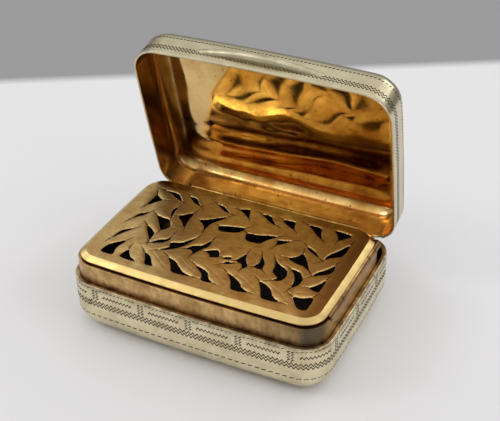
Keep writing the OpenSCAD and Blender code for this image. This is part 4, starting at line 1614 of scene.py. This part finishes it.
@dataclass
class Engraving:
    """Brick pattern round the tray and lines round the lid."""

    tray: Tray
    lid: Lid
    bricks: int = 17
    brick_start: float = 0.35
    notch_margin: float = 0.25
    notch_floor_margin: float = 0.1
    upright: Stitch = Stitch(swing=0.16, pitch=0.42, width=0.17)
    upright_offset: float = 0.24
    upright_low: float = 5.35
    upright_high: float = 6.75
    bar: Stitch = Stitch(swing=0.17, pitch=0.46, width=0.2)
    bar_height: float = 6.0
    bar_left: float = 1.1
    bar_right: float = 1.3
    rim_dash: Stitch = Stitch(swing=0.04, pitch=0.5, width=0.1)
    rim_dash_height: float = 6.85
    rim_dash_margin: float = 0.6
    body_chain: Stitch = Stitch(swing=0.2, pitch=0.56, width=0.22)
    body_chain_heights: tuple = (4.5, 4.95)
    body_dash: Stitch = Stitch(swing=0.04, pitch=0.85, width=0.15)
    body_dash_height: float = 2.85
    lid_chain: Stitch = Stitch(swing=0.16, pitch=0.5, width=0.17)
    lid_chain_heights: tuple = (8.35, 8.75)
    lid_dash: Stitch = Stitch(swing=0.04, pitch=0.5, width=0.15)
    lid_dash_height: float = 10.45

    def cut_body(self, finish: bpy.types.Material) -> bpy.types.Object:
        """Cuts the bricks, the chain below them and the dashes near the round.

        On the rear wall the uprights stop below the cut for the hinge, and no dashes run along it.

        Args:
            finish: Finish of the cuts.

        Returns:
            The piece.
        """
        tray = self.tray
        wall = Wall(tray.plan, tray.seat.rear, spring=tray.round, radius=tray.round, upward=False)
        work = WriggleWork(wall)
        way = tray.plan.along(tray.seat.rear)
        brick = (way[-1] - way[0]) / self.bricks
        notch_reach = tray.notch.reach + self.notch_margin
        notch_floor = tray.cut_floor - self.notch_floor_margin
        for number in range(self.bricks):
            left = self.brick_start + number * brick
            right = left + brick
            high = notch_floor if wall.behind(left, notch_reach) else self.upright_high
            for offset in (-self.upright_offset, self.upright_offset):
                work.post(left + offset, self.upright_low, high, self.upright)
            work.row(left + self.bar_left, right - self.bar_right, self.bar_height, self.bar)
            if not wall.behind(left + brick / 2, notch_reach):
                work.dashes(left + self.rim_dash_margin, right - self.rim_dash_margin, self.rim_dash_height,
                            self.rim_dash)
        for height in self.body_chain_heights:
            work.row(way[0], way[-1], height, self.body_chain)
        work.dashes(way[0], way[-1], self.body_dash_height, self.body_dash)
        return work.build("body_wriggle_lines", finish, Body.BASE)

    def cut_lid(self, finish: bpy.types.Material) -> bpy.types.Object:
        """Cuts the chain near the rim and the dashes near the round.

        Args:
            finish: Finish of the cuts.

        Returns:
            The piece.
        """
        lid = self.lid
        wall = Wall(lid.plan, lid.rear, spring=lid.spring, radius=lid.round, upward=True, pose=lid.pose)
        work = WriggleWork(wall)
        way = lid.plan.along(lid.rear)
        for height in self.lid_chain_heights:
            work.row(way[0], way[-1], height, self.lid_chain)
        work.dashes(way[0], way[-1], self.lid_dash_height, self.lid_dash)
        return work.build("lid_wriggle_lines", finish, Body.LID)


@dataclass
class Sponge:
    """Natural sponge trimmed to the tray, crowned and full of pores."""

    plan: Plan
    seat: Seat
    round: float = 0.35
    bend_stations: int = 6
    side_stations: int = 14
    top_steps: int = 25
    row_map: float = 0.3
    waves: tuple = ((1.9, 0.5), (1.1, 0.3), (0.63, 0.2))
    drift: tuple = (1.3, 0.7, 1.7, 0.6)
    pit_start: float = 0.6
    pit_reach: float = 2.0
    pit_settle: float = 0.12
    pit_depth: float = 0.22
    pit_limits: tuple = (-0.4, 1)
    smooth_all: float = 180.0
    # The pore colour darkens the pores: painted shade.
    pore_shade: str = "#0D0906"
    fibre: str = "#35281A"
    pore_mm: float = 0.55
    pore_depth: float = 0.2
    pore_range: tuple = (0.05, 0.55)
    matt: float = 0.95

    def build(self) -> bpy.types.Object:
        """Lofts the pad with soft edges, then pits it with a sum of waves.

        A wave is sin(turn * x + drift) * cos(turn * y + drift), where each drift is a slower wave
        along the other axis, so the pits stand in no rows.

        Returns:
            The piece.
        """
        plan = replace(self.plan, corner_steps=6, bow_steps=50, rear_steps=90)
        thick = self.seat.top - self.seat.low
        turn = np.radians(np.linspace(0, 90, self.bend_stations))
        bend = np.stack([1 - np.sin(turn), 1 - np.cos(turn)], axis=1) * self.round
        rise = np.linspace(self.round, thick - self.round, self.side_stations)[1:-1]
        upper = np.stack([bend[::-1, 0], thick - bend[::-1, 1]], axis=1)
        stations = np.concatenate([bend, np.stack([np.zeros_like(rise), rise], 1), upper])
        stations += [self.seat.inset, self.seat.low]
        rings = plan.rings(stations, self.seat.rear)
        middle = np.array([0.0, 0.0, self.seat.top])
        rings = np.concatenate([rings, inward(rings[-1], middle, self.top_steps)])
        x = rings[..., 0]
        y = rings[..., 1]
        pits = np.zeros(rings.shape[:2])
        sway_x, slow_x, sway_y, slow_y = self.drift
        for size, weight in self.waves:
            turn = 2 * math.pi / size
            pits += weight * (np.sin(turn * x + sway_x * np.sin(turn * slow_x * y))
                              * np.cos(turn * y + sway_y * np.sin(turn * slow_y * x)))
        above = np.clip((rings[..., 2] - self.seat.low - self.pit_start) / self.pit_reach, 0, 1)
        rings[..., 2] -= above * (self.pit_settle + self.pit_depth * np.clip(pits, *self.pit_limits))
        slots = np.zeros(len(rings) - 1)
        heights = np.arange(len(rings)) * self.row_map
        shape = loft(rings, plan.along(self.seat.rear), heights, slots, Ends.CAPPED)
        thing = shape.piece("sponge_pad", [self.finish()], Body.BASE, ("sponge",), "sponge",
                            sharp=self.smooth_all)
        return thing

    def finish(self) -> bpy.types.Material:
        """Makes dry natural sponge, brown with age: matt, with pores of about half a millimetre darkened as
        painted shade.

        Returns:
            The material.
        """
        made = bpy.data.materials.new("natural sponge, aged")
        made.use_nodes = True
        tree = made.node_tree
        shader = tree.nodes["Principled BSDF"]
        place = add_node(tree, "ShaderNodeTexCoord").outputs["Object"]
        pores = add_node(tree, "ShaderNodeTexVoronoi", {"Vector": place, "Scale": per_metre(self.pore_mm)})
        depth = add_node(tree, "ShaderNodeMapRange", {"Value": pores.outputs["Distance"],
                                                      "From Min": self.pore_range[0],
                                                      "From Max": self.pore_range[1]})
        tone = add_node(tree, "ShaderNodeMix", {0: depth.outputs["Result"], 6: linear(self.pore_shade),
                                                7: linear(self.fibre)}, data_type="RGBA")
        bump = add_node(tree, "ShaderNodeBump", {"Strength": 1.0, "Distance": self.pore_depth * MM,
                                                 "Height": depth.outputs["Result"]})
        shader.inputs["Roughness"].default_value = self.matt
        tree.links.new(tone.outputs[2], shader.inputs["Base Color"])
        tree.links.new(bump.outputs["Normal"], shader.inputs["Normal"])
        return made


@dataclass(frozen=True)
class Lamp:
    """Square softbox: its middle, the length of its side, its power, its colour and the point it faces."""

    name: str
    place: tuple
    size: float
    watts: float
    colour: str = "#FFFFFF"
    aim: tuple = (0, 0, 5)

    def build(self) -> None:
        """Adds the lamp to the scene."""
        data = bpy.data.lights.new(self.name, "AREA")
        data.shape = "SQUARE"
        data.size = self.size * MM
        data.energy = self.watts
        data.color = linear(self.colour)[:3]
        place = np.array(self.place, dtype=float)
        back = place - np.array(self.aim, dtype=float)
        back /= np.linalg.norm(back)
        side = np.cross([0.0, 1.0, 0.0], back)
        side /= np.linalg.norm(side)
        up = np.cross(back, side)
        thing = bpy.data.objects.new(self.name, data)
        bpy.context.scene.collection.objects.link(thing)
        thing.matrix_world = Matrix(np.column_stack([side, up, back, place * MM]).tolist() + [[0, 0, 0, 1]])


@dataclass
class Studio:
    """Camera at the photograph's place, pale paper floor and soft light."""

    azimuth: float = 26.68
    elevation: float = 33.76
    roll: float = -1.06
    distance: float = 128.74
    aside: float = 2.08
    above: float = 12.08
    focal_px: float = 1011.5
    image_px: float = 500.0
    sensor: float = 36.0
    clip: float = 5.0
    floor_reach: float = 1200.0
    paper_end: float = 67.0
    paper_blur: float = 1.5
    paper_turn: float = 29.3
    paper_light: str = "#E6E6EA"
    paper_shade: str = "#98989B"
    paper_matt: float = 0.8
    sky_low: str = "#7C7A78"
    sky_high: str = "#F4F3F0"
    sky_range: tuple = (0.1, 0.95)
    sky_strength: float = 1.15
    lamps: tuple = (
        Lamp("front_softbox", (-228, -133, 231), size=90, watts=0.12, colour="#FFFDF8"),
        Lamp("small_softbox", (-155, -147, 264), size=44, watts=0.022, colour="#FFFDF8", aim=(-13, 8, 10)),
        Lamp("left_softbox", (-330, 15, 130), size=140, watts=0.11),
        Lamp("right_softbox", (260, -20, 150), size=180, watts=0.15),
        Lamp("rear_softbox", (150, 280, 200), size=160, watts=0.14))

    def axes(self) -> tuple[np.ndarray, np.ndarray, np.ndarray]:
        """Works out the camera's right, up and back directions."""
        turn = math.radians(self.azimuth)
        tilt = math.radians(self.elevation)
        spin = math.radians(self.roll)
        back = np.array([math.sin(turn) * math.cos(tilt), -math.cos(turn) * math.cos(tilt), math.sin(tilt)])
        level = np.array([math.cos(turn), math.sin(turn), 0.0])
        upright = np.cross(back, level)
        right = level * math.cos(spin) + upright * math.sin(spin)
        up = upright * math.cos(spin) - level * math.sin(spin)
        return right, up, back

    def camera(self) -> None:
        """Makes the camera and gives it to the scene."""
        right, up, back = self.axes()
        eye = (back * self.distance + right * self.aside + up * self.above) * MM
        data = bpy.data.cameras.new("photo_camera")
        data.lens = self.focal_px * self.sensor / self.image_px
        data.sensor_width = self.sensor
        data.sensor_fit = "HORIZONTAL"
        data.clip_start = self.clip * MM
        thing = bpy.data.objects.new("photo_camera", data)
        bpy.context.scene.collection.objects.link(thing)
        thing.matrix_world = Matrix(np.column_stack([right, up, back, eye]).tolist() + [[0, 0, 0, 1]])
        bpy.context.scene.camera = thing

    def floor(self) -> None:
        """Makes the paper floor, whose far part lies in shade behind the box."""
        mesh = bpy.data.meshes.new("paper_floor")
        reach = self.floor_reach * MM
        mesh.from_pydata([(-reach, -reach, 0), (reach, -reach, 0), (reach, reach, 0), (-reach, reach, 0)], [],
                         [(0, 1, 2, 3)])
        made = bpy.data.materials.new("white paper")
        made.use_nodes = True
        tree = made.node_tree
        shader = tree.nodes["Principled BSDF"]
        place = add_node(tree, "ShaderNodeTexCoord").outputs["Object"]
        turn = -math.radians(self.paper_turn)
        turned = add_node(tree, "ShaderNodeMapping", {"Vector": place, "Rotation": (0, 0, turn)})
        parts = add_node(tree, "ShaderNodeSeparateXYZ", {0: turned.outputs[0]})
        far = add_node(tree, "ShaderNodeMapRange", {"Value": parts.outputs["Y"],
                                                    "From Min": (self.paper_end - self.paper_blur) * MM,
                                                    "From Max": (self.paper_end + self.paper_blur) * MM})
        tone = add_node(tree, "ShaderNodeMix", {0: far.outputs["Result"], 6: linear(self.paper_light),
                                                7: linear(self.paper_shade)}, data_type="RGBA")
        shader.inputs["Roughness"].default_value = self.paper_matt
        tree.links.new(tone.outputs[2], shader.inputs["Base Color"])
        mesh.materials.append(made)
        thing = bpy.data.objects.new("paper_floor", mesh)
        bpy.context.scene.collection.objects.link(thing)

    def sky(self) -> None:
        """Makes the room: dim round the horizon and bright overhead."""
        world = bpy.data.worlds.new("studio_room")
        bpy.context.scene.world = world
        world.use_nodes = True
        tree = world.node_tree
        shader = tree.nodes["Background"]
        place = add_node(tree, "ShaderNodeTexCoord").outputs["Generated"]
        parts = add_node(tree, "ShaderNodeSeparateXYZ", {0: place})
        height = add_node(tree, "ShaderNodeMapRange", {"Value": parts.outputs["Z"],
                                                       "From Min": self.sky_range[0],
                                                       "From Max": self.sky_range[1]})
        tone = add_node(tree, "ShaderNodeMix", {0: height.outputs["Result"], 6: linear(self.sky_low),
                                                7: linear(self.sky_high)}, data_type="RGBA")
        tree.links.new(tone.outputs[2], shader.inputs["Color"])
        shader.inputs["Strength"].default_value = self.sky_strength

    def build(self) -> None:
        """Sets up the whole studio."""
        self.camera()
        self.floor()
        self.sky()
        for lamp in self.lamps:
            lamp.build()
        bpy.context.scene.view_settings.view_transform = "Standard"


def dress(frame: dict, nodes: tuple, finish: bpy.types.Material) -> None:
    """Gives nodes of the part a finish.

    Args:
        nodes: Names of the nodes.
        finish: Their material.
    """
    for name in nodes:
        mesh = frame["nodes"][name].data
        mesh.materials.clear()
        mesh.materials.append(finish)
        log.info("%s: finish %s", name, finish.name)


def main() -> None:
    """Builds the studio and every piece."""
    logging.basicConfig(level=logging.INFO, format="%(message)s")
    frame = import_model()
    Studio().build()
    plan = Plan.of_node("body_tray")
    joints = {joint["name"]: joint for joint in frame["joints"]}
    pose = LidPose.of_joint(joints["lid_hinge"])
    silver = SILVER.material()
    cut_silver = CUT_SILVER.material()
    lid_gilt = LID_GILT.material()
    tray_gilt = TRAY_GILT.material()
    bezel_gilt = BEZEL_GILT.material()
    hinge_gilt = HINGE_GILT.material()
    grille_gilt = GRILLE_GILT.material()
    tray = Tray(plan, Seat.of_node("body_tray", plan))
    tray.build(TRAY_SILVER.material(), tray_gilt, RIM_SILVER.material())
    Bezel(plan, Seat.of_node("bezel_band", plan)).build(bezel_gilt)
    wall_gilt = WALL_GILT.material()
    lid = Lid(plan, pose, rear=tray.seat.rear)
    lid.build(LID_SILVER.material(), lid_gilt, wall_gilt)
    Grille(plan, Seat.of_node("grille_plate", plan)).build(grille_gilt)
    engraving = Engraving(tray, lid)
    engraving.cut_body(cut_silver)
    engraving.cut_lid(cut_silver)
    Sponge(plan, Seat.of_node("sponge", plan)).build()
    dress(frame, ("body_knuckle_left", "body_knuckle_middle", "body_knuckle_right", "lid_hinge_pin",
                  "pin_plug_left", "pin_plug_right", "lid_knuckle_left", "lid_knuckle_right",
                  "grille_hinge_pin"), silver)
    dress(frame, ("thumbpiece",), THUMB_SILVER.material())
    # The hinge shelf gets the dark tray gilt as painted shade, darkening its reflection in the lid.
    dress(frame, ("hinge_shelf",), tray_gilt)
    dress(frame, ("lid_bearer",), wall_gilt)
    dress(frame, ("bezel_knuckle_front", "bezel_knuckle_rear", "grille_skirt", "grille_knuckle"), hinge_gilt)


if __name__ == "__main__":
    main()
